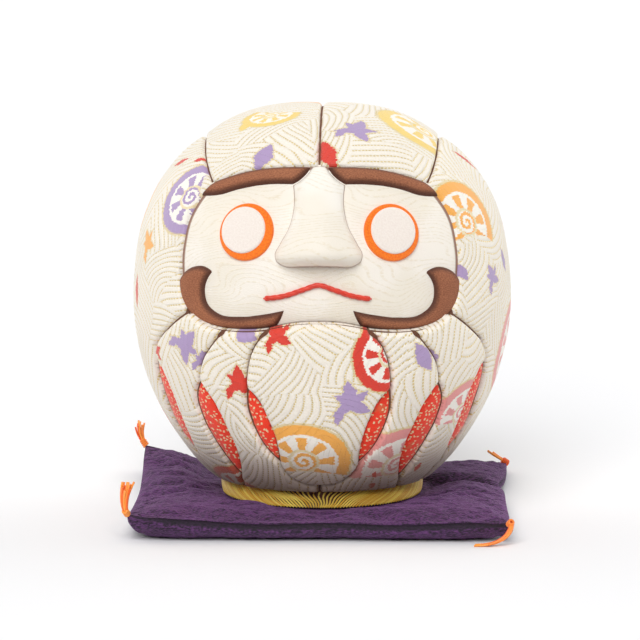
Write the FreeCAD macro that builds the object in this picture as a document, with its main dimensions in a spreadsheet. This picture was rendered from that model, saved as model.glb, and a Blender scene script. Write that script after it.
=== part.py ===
"""A daruma doll made the kimekomi way, on its square cushion.

A hollow moulded core in two halves carries brocade panels, whose edges meet in narrow grooves. The face is its own
recessed form with a nose, brows, a moustache, eyes and a mouth cord. The doll stands loose on a stuffed cushion.

Frame: millimetres, +Z up, the origin on the ground under the middle of the cushion. The doll faces -Y, and left
and right are as seen from the front, so left is -X.
"""

import FreeCAD
import Part
import Sketcher
import math
import os

from FreeCAD import Placement, Rotation, Vector

doc = FreeCAD.newDocument("daruma")

# ---------------------------------------------------------------- driving dimensions

SIZES = {
    "seat_height": 4.0,  # ground to the underside of the doll, where the cushion is pressed flat
    "belly_height": 46.0,  # underside of the doll to its widest level
    "belly_radius": 43.3,
    "crown_rise": 44.7,  # widest level to the top of the head
    "crown_arc": 68.0,  # radii of the arcs of the doll's profile, from the top of the head down
    "shoulder_arc": 36.0,
    "side_arc": 74.0,
    "skirt_arc": 57.0,
    "skirt_drop": 42.0,  # widest level to the flat bottom of the body
    "cloth": 0.8,
    "glue": 0.05,  # between a cloth and what it is stuck to
    "core_wall": 7.0,
    "groove": 0.6,  # gap between two panels
    "reach": 60.0,  # length of the prisms that cut the panels out, more than any radius
    "face_arc": 44.5,  # radius of the sphere that the finished face lies on
    "face_back": 4.2,  # its centre lies this far behind the doll's axis
    "face_rise": 6.0,  # and this far above the widest level
    "face_cloth": 1.0,
    "crepe_rise": 1.1,  # brows and moustache stand out of the face by this much
    "cord_rise": 0.8,
    "nose_half_width": 13.0,  # semi-axis across of the ellipsoid that the nose is part of
    "nose_arc": 26.9,  # its two other semi-axes
    "nose_forward": 18.3,
    "nose_rise": 10.0,
    "eye_ring_radius": 7.0,
    "eye_disc_radius": 5.4,
    "eye_cloth": 0.6,
    "foot_radius": 22.8,
    "foot_felt": 0.6,
    "braid_thickness": 0.5,
    "braid_lift": 0.2,
    "cushion_half": 43.5,
    "cushion_top": 7.0,
    "cushion_corner": 6.0,
    "cushion_round": 3.2,
    "cushion_cloth": 0.5,
    "dent_radius": 24.3,
    "dent_slope": 6.0,
    "tassel_length": 6.0,
    "tassel_neck": 0.5,
    "tassel_tip": 1.3,
    "tassel_knot": 1.1,
    "tassel_place": 42.6,  # from the middle plane to the knot, both ways
}

sheet = doc.addObject("Spreadsheet::Sheet", "Sizes")
for row, (alias, value) in enumerate(SIZES.items(), start=1):
    sheet.set(f"A{row}", alias)
    sheet.set(f"B{row}", str(value))
    sheet.setAlias(f"B{row}", alias)
doc.recompute()


def size(alias):
    return float(sheet.get(alias))


BELLY_LEVEL = "Sizes.seat_height + Sizes.belly_height"
FOOT_LEVEL = "Sizes.seat_height + Sizes.belly_height - Sizes.skirt_drop"
FACE_LEVEL = "Sizes.seat_height + Sizes.belly_height + Sizes.face_rise"
belly_level = size("seat_height") + size("belly_height")

# ---------------------------------------------------------------- seams, as drawn on the doll's right-hand half
# Points are (across, above the widest level), seen from the front. A run of two points is straight, and a longer
# one is a smooth curve through its points.

HOOD_EDGE = [(0, 34.6), (8, 34.4), (15.5, 33.3), (20, 31.9), (24.5, 29.8)]
CORNER_SEAM = [(24.5, 29.8), (26.2, 33), (27.1, 36), (27.3, 37.4)]
FACE_SIDE = [(24.5, 29.8), (27.6, 26.4), (30.2, 22), (31.6, 16.5), (32, 8.5), (31.6, 4.5), (30.2, 1.2)]
JAW_OUTER = [(30.2, 1.2), (28, -0.9), (25, -2), (22, -2.4)]
JAW_MIDDLE = [(22, -2.4), (17, -2.3), (11.6, -1.6)]
JAW_INNER = [(11.6, -1.6), (7.3, -0.5), (0, 0.1)]
OUTER_SEAM = [(30.2, 1.2), (34.6, -3), (37.3, -6.8), (38.2, -11.5)]
OUTER_INLAY_FRONT = [(38.2, -11.5), (36, -15.2), (33.6, -21.3), (31.2, -28), (28.2, -35.5)]
OUTER_INLAY_BACK = [(38.2, -11.5), (37.9, -15.6), (36.5, -21.3), (33.9, -28.3), (28.2, -35.5)]
OUTER_FOOT = [(28.2, -35.5), (22.5, -43)]
MIDDLE_SEAM = [(22, -2.4), (24.7, -5.8), (26.9, -9.8), (27.5, -15)]
MIDDLE_INLAY_FRONT = [(27.5, -15), (24.5, -19.3), (21.5, -25.6), (18.9, -32.7), (18.4, -39)]
MIDDLE_INLAY_BACK = [(27.5, -15), (28.5, -19), (27.4, -24), (24.3, -30.5), (21, -35.7), (18.4, -39)]
MIDDLE_FOOT = [(18.4, -39), (17.5, -43)]
INNER_SEAM = [(11.6, -1.6), (14.4, -4.8), (16, -9), (16.4, -15.4)]
INNER_INLAY_FRONT = [(16.4, -15.4), (13.9, -18), (11.7, -22.7), (9.9, -28.3), (9.1, -34)]
INNER_INLAY_BACK = [(16.4, -15.4), (16.5, -20), (15.1, -25), (12.4, -30.3), (9.1, -34)]
LAP_SEAM = [(9.1, -34), (6.2, -37.8), (2.8, -39.4), (0, -39.6)]
BACK_SEAM = [(27.3, 37.4), (26.5, 28), (24, 10), (19, -15), (12, -36), (9.5, -43)]

BROW_TOP = [(1.6, 34.4), (8, 34.4), (15.5, 33.3), (20, 31.9), (24.5, 29.8), (27.2, 26.8)]
BROW_BOTTOM = [(27.2, 26.8), (22.8, 27.4), (18.6, 28.9), (13, 30.2), (6, 30.6)]
NOSE_BROW = [(6, 30.6), (3.2, 32.4), (1.6, 34.4)]
NOSE_TOP = [(1.6, 34.4), (0, 34.6)]
NOSE_SIDE = [(6, 30.6), (5.7, 25.6), (6.5, 21.6), (8.3, 18), (9.7, 15.2), (9.2, 13.6)]
NOSE_BOTTOM = [(9.2, 13.6), (7.4, 13.2), (3.5, 13.1), (0, 13)]
MOUSTACHE_END = [(9.4, -0.5), (8.2, 1.2), (7.4, 3.4)]
MOUSTACHE_TOP = [(7.4, 3.4), (12.5, 2.1), (18, 1.2), (22.4, 1.3), (25.1, 3), (25.8, 6), (23.9, 9.9)]
MOUSTACHE_HOOK = [(23.9, 9.9), (26.4, 11.1), (29, 10.5), (31.9, 7.5)]
MOUSTACHE_SIDE = [(31.9, 7.5), (31.5, 4.5), (30, 1.3), (27.8, -0.6), (25, -1.6), (22, -1.9), (17, -1.8), (9.4, -0.5)]
MOUTH = [(-12.4, 5.9), (-7.6, 6.9), (-3.6, 8.3), (0, 9.4), (3.6, 8.3), (7.6, 6.9), (12.4, 5.9)]
MOUTH_WIDTH = 0.9
OUTSIDE = 52.0  # beyond the body in every direction
HEM = -43.0  # just below the flat bottom of the body

EYE_TURN = 23.0  # degrees from straight ahead, about the middle of the face sphere
EYE_LIFT = 18.6
DISC_SHIFT = {"left": (-0.9, 0.9), "right": (0.3, 0.8)}  # turn and lift of a white disc on its ring, in degrees

SIDES = {"left": -1, "right": 1}
subparts = []


# ---------------------------------------------------------------- construction helpers


def keep(made, label):
    made.Label = label
    subparts.append(made)
    return made


def bind(made, **expressions):
    for name, expression in expressions.items():
        made.setExpression(name, expression)
    return made


def at_height(made, expression):
    made.setExpression("Placement.Base.z", expression)
    return made


def combine(kind, name, base, tool):
    made = doc.addObject("Part::" + kind, name)
    made.Base = base
    made.Tool = tool
    made.Refine = False
    return made


def origin_plane(body, role):
    return next(feature for feature in body.Origin.OriginFeatures if feature.Role == role)


def attached_sketch(body, name, role):
    made = body.newObject("Sketcher::SketchObject", name)
    made.AttachmentSupport = [(origin_plane(body, role), "")]
    made.MapMode = "FlatFace"
    return made


def drive(sketch_made, name, expression, *constraint):
    """Adds one dimension to a sketch and binds it to the sheet."""
    index = sketch_made.addConstraint(Sketcher.Constraint(*constraint))
    sketch_made.renameConstraint(index, name)
    sketch_made.setExpression("Constraints." + name, expression)


def envelope(name, inset, bottom):
    """The doll's outer form, shrunk all round by inset and flat at the level bottom: four tangent arcs, from the
    top of the head down, turned about the doll's axis. Both are expressions on the sheet."""
    body = doc.addObject("PartDesign::Body", name)
    profile = attached_sketch(body, name + "_profile", "XZ_Plane")

    crown = Vector(0, belly_level + size("crown_rise") - size("crown_arc"), 0)
    shoulder = Vector(6.4, belly_level + 8.0, 0)  # a first guess, which the tangencies correct
    side = Vector(size("belly_radius") - size("side_arc"), belly_level, 0)
    skirt = Vector(size("belly_radius") - size("skirt_arc"), belly_level, 0)
    steep = math.atan2(shoulder.y - crown.y, shoulder.x)
    gentle = math.atan2(shoulder.y - side.y, shoulder.x - side.x)
    foot_turn = -math.asin(size("skirt_drop") / size("skirt_arc"))
    arcs = [
        (crown, "crown_arc", steep, math.pi / 2),
        (shoulder, "shoulder_arc", gentle, steep),
        (side, "side_arc", 0, gentle),
        (skirt, "skirt_arc", foot_turn, 0),
    ]
    for centre, arc_radius, start, finish in arcs:
        circle = Part.Circle(centre, Vector(0, 0, 1), size(arc_radius))
        profile.addGeometry(Part.ArcOfCircle(circle, start, finish), False)
    foot = Vector(size("foot_radius"), belly_level - size("skirt_drop"), 0)
    heel = Vector(0, foot.y, 0)
    crest = Vector(0, belly_level + size("crown_rise"), 0)
    profile.addGeometry(Part.LineSegment(foot, heel), False)
    profile.addGeometry(Part.LineSegment(heel, crest), False)

    start, finish, centre = 1, 2, 3
    axis = -2
    rules = [
        ("Tangent", 0, start, 1, finish),
        ("Tangent", 1, start, 2, finish),
        ("Coincident", 2, start, 3, finish),
        ("Coincident", 3, start, 4, start),
        ("Coincident", 4, finish, 5, start),
        ("Coincident", 5, finish, 0, finish),
        ("PointOnObject", 0, centre, axis),
        ("PointOnObject", 5, start, axis),
        ("PointOnObject", 5, finish, axis),
        ("Horizontal", 2, centre, 2, start),
        ("Horizontal", 3, centre, 3, finish),
        ("Horizontal", 4),
    ]
    for rule in rules:
        profile.addConstraint(Sketcher.Constraint(*rule))
    for index, (_, arc_radius, _, _) in enumerate(arcs):
        drive(profile, arc_radius, f"Sizes.{arc_radius} - {inset}", "Radius", index, size(arc_radius))
    drive(profile, "girth", f"Sizes.belly_radius - {inset}", "DistanceX", -1, 1, 2, start, size("belly_radius"))
    drive(profile, "level", BELLY_LEVEL, "DistanceY", -1, 1, 2, start, belly_level)
    drive(profile, "top", f"{BELLY_LEVEL} + Sizes.crown_rise - {inset}", "DistanceY", -1, 1, 0, finish, crest.y)
    drive(profile, "bottom", bottom, "DistanceY", -1, 1, 4, start, foot.y)

    turned = body.newObject("PartDesign::Revolution", name + "_turned")
    turned.Profile = profile
    turned.ReferenceAxis = (profile, ["V_Axis"])
    turned.Angle = 360
    return body


def reverse(run):
    return run[::-1]


def opposite(runs):
    """The mirror image of some runs, in the order that closes the outline."""
    return [[(-across, up) for across, up in reverse(run)] for run in reverse(runs)]


def straight(*points):
    return [list(pair) for pair in zip(points, points[1:])]


def prism(name, runs, forward=True, overlap="0"):
    """What an outline covers, half a groove narrower all round, from the middle plane forward or backward. The
    expression overlap is how far it also goes to the other side of that plane."""
    outline = doc.addObject("Sketcher::SketchObject", name + "_outline")
    outline.Placement = Placement(Vector(0, 0, 0), Rotation(Vector(1, 0, 0), 90))
    at_height(outline, BELLY_LEVEL)
    for run in runs:
        points = [Vector(across, up, 0) for across, up in run]
        if len(points) == 2:
            outline.addGeometry(Part.LineSegment(*points), False)
        else:
            curve = Part.BSplineCurve()
            curve.interpolate(points)
            outline.addGeometry(curve, False)
    trimmed = doc.addObject("Part::Offset2D", name + "_trimmed")
    trimmed.Source = outline
    bind(trimmed, Value="-Sizes.groove / 2")
    block = doc.addObject("Part::Extrusion", name + "_block")
    block.Base = trimmed
    block.DirMode = "Custom"
    block.Dir = Vector(0, -1 if forward else 1, 0)
    block.Solid = True
    return bind(block, LengthFwd="Sizes.reach", LengthRev=overlap)


def mirrored(made, name):
    other = doc.addObject("Part::Mirroring", name)
    other.Source = made
    other.Normal = Vector(1, 0, 0)
    return other


def keep_pair(made, stem):
    keep(made, stem + "_right")
    keep(mirrored(made, stem + "_left"), stem + "_left")


def face_ball(name, rise):
    """The face's sphere, larger by the expression rise."""
    ball = doc.addObject("Part::Sphere", name)
    bind(ball, Radius=f"Sizes.face_arc + {rise}")
    ball.setExpression("Placement.Base.y", "Sizes.face_back")
    return at_height(ball, FACE_LEVEL)


# ---------------------------------------------------------------- forms that several pieces are cut from

outer_form = envelope("outer_form", "0", FOOT_LEVEL)
lining_form = envelope("lining_form", "Sizes.cloth", FOOT_LEVEL)
core_form = envelope("core_form", "(Sizes.cloth + Sizes.glue)", FOOT_LEVEL)
hollow_form = envelope("hollow_form", "(Sizes.cloth + Sizes.core_wall)", f"{FOOT_LEVEL} + Sizes.core_wall")
cloth_form = combine("Cut", "cloth_form", outer_form, lining_form)

pocket_ball = face_ball("pocket_ball", "-Sizes.face_cloth - Sizes.glue")
face_back_ball = face_ball("face_back_ball", "-Sizes.face_cloth")
face_front_ball = face_ball("face_front_ball", "0")
trim_back_ball = face_ball("trim_back_ball", "Sizes.glue")
crepe_ball = face_ball("crepe_ball", "Sizes.crepe_rise")
ring_ball = face_ball("ring_ball", "Sizes.eye_cloth")
disc_back_ball = face_ball("disc_back_ball", "Sizes.eye_cloth + Sizes.glue")
disc_ball = face_ball("disc_ball", "2 * Sizes.eye_cloth")
cord_ball = face_ball("cord_ball", "Sizes.cord_rise")

FACE_EDGE = [HOOD_EDGE, FACE_SIDE, JAW_OUTER, JAW_MIDDLE, JAW_INNER]
face_prism = prism("face", FACE_EDGE + opposite(FACE_EDGE))


# ---------------------------------------------------------------- the core


def core_halves():
    """Two moulded halves, glued together in the plane of the ears. The front one is cut back for the face."""
    moulded = combine("Cut", "moulded", core_form, hollow_form)
    pocket = combine("Cut", "face_pocket", face_prism, pocket_ball)
    pocketed = combine("Cut", "pocketed", moulded, pocket)
    for label, source, rear_plane in (("core_front_half", pocketed, "-Sizes.reach"), ("core_back_half", moulded, "0")):
        half_space = doc.addObject("Part::Box", label + "_space")
        bind(half_space, Length="2 * Sizes.reach", Width="Sizes.reach", Height="2 * Sizes.reach")
        half_space.setExpression("Placement.Base.x", "-Sizes.reach")
        half_space.setExpression("Placement.Base.y", rear_plane)
        keep(combine("Common", label, source, half_space), label)


# ---------------------------------------------------------------- brocade panels and red inlays

CORNER = CORNER_SEAM[-1]
TOP_CORNER = (OUTSIDE, OUTSIDE)
BOTTOM_CORNER = (OUTSIDE, HEM)


def wrapped_panel(stem, front_runs, back_runs):
    """A panel that goes over the widest silhouette, cut in front by one outline and behind by another."""
    front = prism(stem + "_front_area", front_runs, overlap="Sizes.groove")
    back = prism(stem + "_back_area", back_runs, forward=False)
    area = combine("Fuse", stem + "_area", front, back)
    keep_pair(combine("Common", stem + "_right", cloth_form, area), stem)


def hood():
    front = straight((0, OUTSIDE), TOP_CORNER, CORNER) + [reverse(CORNER_SEAM), reverse(HOOD_EDGE)]
    front += straight(HOOD_EDGE[0], (0, OUTSIDE))
    back = straight((0, OUTSIDE), TOP_CORNER, CORNER) + [BACK_SEAM]
    back += straight(BACK_SEAM[-1], (0, HEM), (0, OUTSIDE))
    wrapped_panel("hood", front, back)


def side():
    front = straight(CORNER, TOP_CORNER, BOTTOM_CORNER, OUTER_FOOT[-1])
    front += [reverse(OUTER_FOOT), reverse(OUTER_INLAY_BACK), reverse(OUTER_SEAM), reverse(FACE_SIDE), CORNER_SEAM]
    back = straight(CORNER, TOP_CORNER, BOTTOM_CORNER, BACK_SEAM[-1]) + [reverse(BACK_SEAM)]
    wrapped_panel("side", front, back)


def front_panel(stem, runs):
    return combine("Common", stem, cloth_form, prism(stem + "_area", runs))


def robe():
    outer = [JAW_OUTER, MIDDLE_SEAM, MIDDLE_INLAY_BACK, MIDDLE_FOOT]
    outer += straight(MIDDLE_FOOT[-1], OUTER_FOOT[-1])
    outer += [reverse(OUTER_FOOT), reverse(OUTER_INLAY_FRONT), reverse(OUTER_SEAM)]
    keep_pair(front_panel("robe_outer", outer), "robe_outer")

    inner = [JAW_MIDDLE, INNER_SEAM, INNER_INLAY_BACK, LAP_SEAM]
    inner += straight(LAP_SEAM[-1], (0, HEM), MIDDLE_FOOT[-1])
    inner += [reverse(MIDDLE_FOOT), reverse(MIDDLE_INLAY_FRONT), reverse(MIDDLE_SEAM)]
    keep_pair(front_panel("robe_inner", inner), "robe_inner")

    centre = [reverse(LAP_SEAM), reverse(INNER_INLAY_FRONT), reverse(INNER_SEAM), JAW_INNER]
    keep(front_panel("robe_centre", centre + opposite(centre)), "robe_centre")


def inlays():
    edges = {
        "inlay_outer": (OUTER_INLAY_FRONT, OUTER_INLAY_BACK),
        "inlay_middle": (MIDDLE_INLAY_FRONT, MIDDLE_INLAY_BACK),
        "inlay_inner": (INNER_INLAY_FRONT, INNER_INLAY_BACK),
    }
    for stem, (front, back) in edges.items():
        keep_pair(front_panel(stem, [front, reverse(back)]), stem)


# ---------------------------------------------------------------- the face


def on_face(stem, outer_ball, runs):
    """A flat piece that lies on the finished face."""
    skin = combine("Cut", stem + "_skin", outer_ball, trim_back_ball)
    return combine("Common", stem, skin, prism(stem + "_area", runs))


def face_panel():
    skin = combine("Cut", "face_skin", face_front_ball, face_back_ball)
    keep(combine("Common", "face_panel", skin, face_prism), "face_panel")


def nose():
    half = [reverse(NOSE_TOP), reverse(NOSE_BROW), NOSE_SIDE, NOSE_BOTTOM]
    swell = doc.addObject("Part::Ellipsoid", "nose_swell")
    bind(swell, Radius1="Sizes.nose_arc", Radius2="Sizes.nose_half_width", Radius3="Sizes.nose_arc")
    swell.Angle1 = -90
    swell.Angle2 = 90
    swell.Angle3 = 360
    swell.setExpression("Placement.Base.y", "-Sizes.nose_forward")
    at_height(swell, f"{BELLY_LEVEL} + Sizes.nose_rise")
    bridge = combine("Common", "nose_block", swell, prism("nose_area", half + opposite(half)))
    keep(combine("Cut", "nose", bridge, trim_back_ball), "nose")


def brows_and_moustache():
    brow = [BROW_TOP, BROW_BOTTOM, NOSE_BROW]
    keep_pair(on_face("eyebrow", crepe_ball, brow), "eyebrow")
    moustache = [MOUSTACHE_TOP, MOUSTACHE_HOOK, MOUSTACHE_SIDE, MOUSTACHE_END]
    keep_pair(on_face("moustache", crepe_ball, moustache), "moustache")


def mouth():
    below = [(across, up - MOUTH_WIDTH - size("groove")) for across, up in MOUTH]
    above = [(across, up) for across, up in MOUTH]
    ends = straight(above[-1], below[-1]), straight(below[0], above[0])
    keep(on_face("mouth_cord", cord_ball, [above, *ends[0], reverse(below), *ends[1]]), "mouth_cord")


def eye_post(name, radius, turn, lift):
    """A round post from the middle of the face sphere out through an eye."""
    post = doc.addObject("Part::Cylinder", name)
    bind(post, Radius=radius, Height="Sizes.reach")
    level = belly_level + size("face_rise")
    tilt = Rotation(Vector(0, 0, 1), turn) * Rotation(Vector(1, 0, 0), 90 - lift)
    post.Placement = Placement(Vector(0, size("face_back"), level), tilt)
    return post


def eyes():
    ring_skin = combine("Cut", "ring_skin", ring_ball, trim_back_ball)
    disc_skin = combine("Cut", "disc_skin", disc_ball, disc_back_ball)
    for side_name, sign in SIDES.items():
        turn, lift = sign * EYE_TURN, EYE_LIFT
        ring_post = eye_post("ring_post_" + side_name, "Sizes.eye_ring_radius", turn, lift)
        keep(combine("Common", "eye_ring_" + side_name, ring_skin, ring_post), "eye_ring_" + side_name)
        extra_turn, extra_lift = DISC_SHIFT[side_name]
        disc_post = eye_post("disc_post_" + side_name, "Sizes.eye_disc_radius", turn + extra_turn, lift + extra_lift)
        keep(combine("Common", "eye_disc_" + side_name, disc_skin, disc_post), "eye_disc_" + side_name)


# ---------------------------------------------------------------- the foot


def foot():
    felt = doc.addObject("Part::Cylinder", "base_felt")
    bind(felt, Radius="Sizes.foot_radius", Height="Sizes.foot_felt")
    keep(at_height(felt, "Sizes.seat_height"), "base_felt")

    disc = doc.addObject("Part::Cylinder", "base_disc")
    bind(disc, Radius="Sizes.foot_radius", Height="Sizes.belly_height - Sizes.skirt_drop - Sizes.foot_felt")
    keep(at_height(disc, "Sizes.seat_height + Sizes.foot_felt"), "base_disc")

    hoops = []
    for name, radius in (("outer", "Sizes.foot_radius + Sizes.braid_thickness"), ("inner", "Sizes.foot_radius")):
        hoop = doc.addObject("Part::Cylinder", "braid_" + name)
        bind(hoop, Radius=radius, Height="Sizes.belly_height - Sizes.skirt_drop - Sizes.braid_lift")
        hoops.append(at_height(hoop, "Sizes.seat_height + Sizes.braid_lift"))
    keep(combine("Cut", "base_gold_braid", *hoops), "base_gold_braid")


# ---------------------------------------------------------------- the cushion


def pillow(name, inset):
    """A square block with every edge well rounded, shrunk all round by the expression inset, and pressed in where
    the doll stands."""
    body = doc.addObject("PartDesign::Body", name + "_body")
    square = attached_sketch(body, name + "_square", "XY_Plane")
    half = size("cushion_half")
    corners = [Vector(-half, -half), Vector(half, -half), Vector(half, half), Vector(-half, half)]
    for start, finish in zip(corners, corners[1:] + corners[:1]):
        square.addGeometry(Part.LineSegment(start, finish), False)
    for index in range(4):
        square.addConstraint(Sketcher.Constraint("Coincident", index, 2, (index + 1) % 4, 1))
        square.addConstraint(Sketcher.Constraint("Vertical" if index % 2 else "Horizontal", index))
    for name_of_size, kind, point in (("right", "DistanceX", 2), ("rear", "DistanceY", 2)):
        drive(square, name_of_size, f"Sizes.cushion_half - {inset}", kind, -1, 1, 1 if kind == "DistanceX" else 2,
              point, half)
    square.addConstraint(Sketcher.Constraint("Symmetric", 0, 1, 1, 2, -1, 1))
    square.setExpression("AttachmentOffset.Base.z", inset)

    block = body.newObject("PartDesign::Pad", name + "_block")
    block.Profile = square
    bind(block, Length=f"Sizes.cushion_top - 2 * {inset}")
    doc.recompute()

    upright = [f"Edge{n}" for n, edge in enumerate(block.Shape.Edges, start=1) if edge.BoundBox.ZLength > 1]
    rounded = body.newObject("PartDesign::Fillet", name + "_corners")
    rounded.Base = (block, upright)
    bind(rounded, Radius=f"Sizes.cushion_corner - {inset}")
    doc.recompute()

    flat = [f"Face{n}" for n, face in enumerate(rounded.Shape.Faces, start=1) if face.BoundBox.ZLength < 0.01]
    softened = body.newObject("PartDesign::Fillet", name + "_edges")
    softened.Base = (rounded, flat)
    bind(softened, Radius=f"Sizes.cushion_round - {inset}")

    dent = doc.addObject("Part::Cone", name + "_dent")
    bind(
        dent,
        Radius1=f"Sizes.dent_radius + {inset}",
        Radius2=f"Sizes.dent_radius + {inset} + 2 * Sizes.dent_slope",
        Height="2 * (Sizes.cushion_top - Sizes.seat_height)",
    )
    at_height(dent, f"Sizes.seat_height - {inset}")
    return combine("Cut", name, body, dent)


def cushion():
    outer = pillow("cushion_outer", "0")
    filling = pillow("cushion_filling", "Sizes.cushion_cloth")
    keep(combine("Cut", "cushion_cover", outer, filling), "cushion_cover")
    keep(filling, "cushion_filling")


def tassels():
    """A knot at each corner of the cushion, with a short skirt of threads that points out along the diagonal."""
    for row_name, row_sign in (("front", -1), ("back", 1)):
        for side_name, sign in SIDES.items():
            label = f"tassel_{row_name}_{side_name}"
            knot = doc.addObject("Part::Sphere", label + "_knot")
            bind(knot, Radius="Sizes.tassel_knot")
            skirt = doc.addObject("Part::Cone", label + "_skirt")
            bind(skirt, Radius1="Sizes.tassel_neck", Radius2="Sizes.tassel_tip", Height="Sizes.tassel_length")
            place = Vector(sign * size("tassel_place"), row_sign * size("tassel_place"), size("cushion_top") / 2)
            outward = Rotation(Vector(0, 0, 1), Vector(sign, row_sign, 0))
            knot.Placement = Placement(place, Rotation())
            skirt.Placement = Placement(place, outward)
            keep(combine("Fuse", label, knot, skirt), label)


core_halves()
hood()
side()
robe()
inlays()
face_panel()
nose()
brows_and_moustache()
mouth()
eyes()
foot()
cushion()
tassels()
doc.recompute()

# ---------------------------------------------------------------- checks, then one STEP file for each sub-part

failed = [made.Name for made in doc.Objects if {"Invalid", "Error"} & set(made.State)]
if failed:
    raise RuntimeError("objects that did not recompute: " + ", ".join(failed))
for made in subparts:
    if made.Shape.isNull() or not made.Shape.isValid():
        raise RuntimeError("bad shape: " + made.Label)



def exportable(shape):
    """STEP has no offset curves, and the walls of a trimmed outline have them, so such a shape goes out as splines."""
    drawn = any(face.Surface.TypeId == "Part::GeomSurfaceOfExtrusion" for face in shape.Faces)
    return shape.toNurbs() if drawn else shape


os.makedirs("parts", exist_ok=True)
for made in subparts:
    exportable(made.Shape).exportStep(f"parts/{made.Label}.step")
    box = made.Shape.optimalBoundingBox()
    print(f"{made.Label:20} volume {made.Shape.Volume:9.1f}  z {box.ZMin:6.2f} to {box.ZMax:6.2f}")
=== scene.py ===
"""The looks of a daruma doll on its cushion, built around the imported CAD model.

Lengths are millimetres until a mesh is made, which turns them into metres. +Z is up, the doll
faces -Y, and left and right are as the viewer sees them, so left is -X.
"""

import math

import bpy
import numpy as np
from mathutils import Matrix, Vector
from mathutils.geometry import delaunay_2d_cdt


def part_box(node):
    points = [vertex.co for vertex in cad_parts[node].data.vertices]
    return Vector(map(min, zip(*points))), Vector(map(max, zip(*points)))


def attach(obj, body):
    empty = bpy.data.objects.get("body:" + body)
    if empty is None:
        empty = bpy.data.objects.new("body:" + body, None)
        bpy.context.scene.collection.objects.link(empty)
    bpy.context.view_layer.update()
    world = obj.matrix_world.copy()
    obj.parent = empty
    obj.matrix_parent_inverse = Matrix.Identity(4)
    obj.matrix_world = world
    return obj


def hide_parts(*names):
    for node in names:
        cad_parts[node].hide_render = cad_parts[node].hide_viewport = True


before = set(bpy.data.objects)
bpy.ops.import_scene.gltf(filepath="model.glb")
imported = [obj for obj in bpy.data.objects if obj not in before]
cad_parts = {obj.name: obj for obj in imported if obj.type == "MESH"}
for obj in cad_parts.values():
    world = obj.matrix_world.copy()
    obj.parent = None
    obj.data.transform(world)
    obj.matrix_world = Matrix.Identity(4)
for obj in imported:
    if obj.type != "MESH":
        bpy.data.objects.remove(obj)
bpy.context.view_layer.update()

METRE = 1000.0  # millimetres in a metre
SIDES = {"left": -1, "right": 1}


def corners(node):
    """The lowest and highest corners of a CAD node, in millimetres."""
    low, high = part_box(node)
    return low * METRE, high * METRE


# ---------------------------------------------------------------- the doll's form

FOOT_LEVEL = corners("core_back_half")[0].z
CROWN_LEVEL = corners("hood_left")[1].z
BELLY_RADIUS = corners("side_right")[1].x
BELLY_LEVEL = FOOT_LEVEL + 42.0
CROWN_ARC, SHOULDER_ARC, SIDE_ARC, SKIRT_ARC = 68.0, 36.0, 74.0, 57.0
MIDDLE = np.array([0.0, 0.0, BELLY_LEVEL])

FACE_ARC = 44.5
FACE_MIDDLE = np.array([0.0, 4.2, BELLY_LEVEL + 6.0])


def meeting_point(first, first_radius, second, second_radius):
    """Where two circles cross, on the side away from the doll's axis."""
    gap = second - first
    span = np.linalg.norm(gap)
    along = (first_radius**2 - second_radius**2 + span**2) / (2 * span)
    aside = math.sqrt(first_radius**2 - along**2)
    across = np.array([gap[1], -gap[0]]) / span
    choices = [first + gap / span * along + sign * aside * across for sign in (-1, 1)]
    return max(choices, key=lambda point: point[0] + point[1])


def body_profile():
    """The body's outline from the foot to the crown: elevation about the middle, distance from it and
    slope of the normal."""
    crown = np.array([0.0, CROWN_LEVEL - CROWN_ARC])
    side = np.array([BELLY_RADIUS - SIDE_ARC, BELLY_LEVEL])
    skirt = np.array([BELLY_RADIUS - SKIRT_ARC, BELLY_LEVEL])
    shoulder = meeting_point(crown, CROWN_ARC - SHOULDER_ARC, side, SIDE_ARC - SHOULDER_ARC)
    steep = math.atan2(*(shoulder - crown)[::-1])
    gentle = math.atan2(*(shoulder - side)[::-1])
    foot = -math.asin((BELLY_LEVEL - FOOT_LEVEL + 3.0) / SKIRT_ARC)
    arcs = [
        (skirt, SKIRT_ARC, foot, 0.0),
        (side, SIDE_ARC, 0.0, gentle),
        (shoulder, SHOULDER_ARC, gentle, steep),
        (crown, CROWN_ARC, steep, math.pi / 2),
    ]
    rows = []
    for centre, radius, start, finish in arcs:
        for turn in np.linspace(start, finish, 60, endpoint=centre is crown):
            out = centre[0] + radius * math.cos(turn)
            up = centre[1] + radius * math.sin(turn) - BELLY_LEVEL
            rows.append((math.atan2(up, out), math.hypot(up, out), turn))
    return np.array(rows).T


PROFILE = body_profile()


def unit(vectors):
    return vectors / np.linalg.norm(vectors, axis=-1, keepdims=True)


class Body:
    """The brocade's surface: any point of it is given by its direction from the middle of the doll."""

    @staticmethod
    def place(directions, lift=0.0):
        elevation = np.arcsin(np.clip(directions[:, 2], -1, 1))
        distance = np.interp(elevation, PROFILE[0], PROFILE[1])
        slope = np.interp(elevation, PROFILE[0], PROFILE[2])
        flat = directions[:, :2]
        level = flat / np.maximum(np.linalg.norm(flat, axis=1, keepdims=True), 1e-9)
        normals = np.column_stack([level * np.cos(slope)[:, None], np.sin(slope)])
        return MIDDLE + directions * distance[:, None] + normals * np.reshape(lift, (-1, 1))

    @staticmethod
    def front(across, up):
        """Directions of points seen from the front at (across, above the widest level)."""
        radius = np.interp(up, PROFILE[1] * np.sin(PROFILE[0]), PROFILE[1] * np.cos(PROFILE[0]))
        depth = np.sqrt(np.maximum(radius**2 - across**2, 0))
        return unit(np.column_stack([across, -depth, up]))


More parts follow.
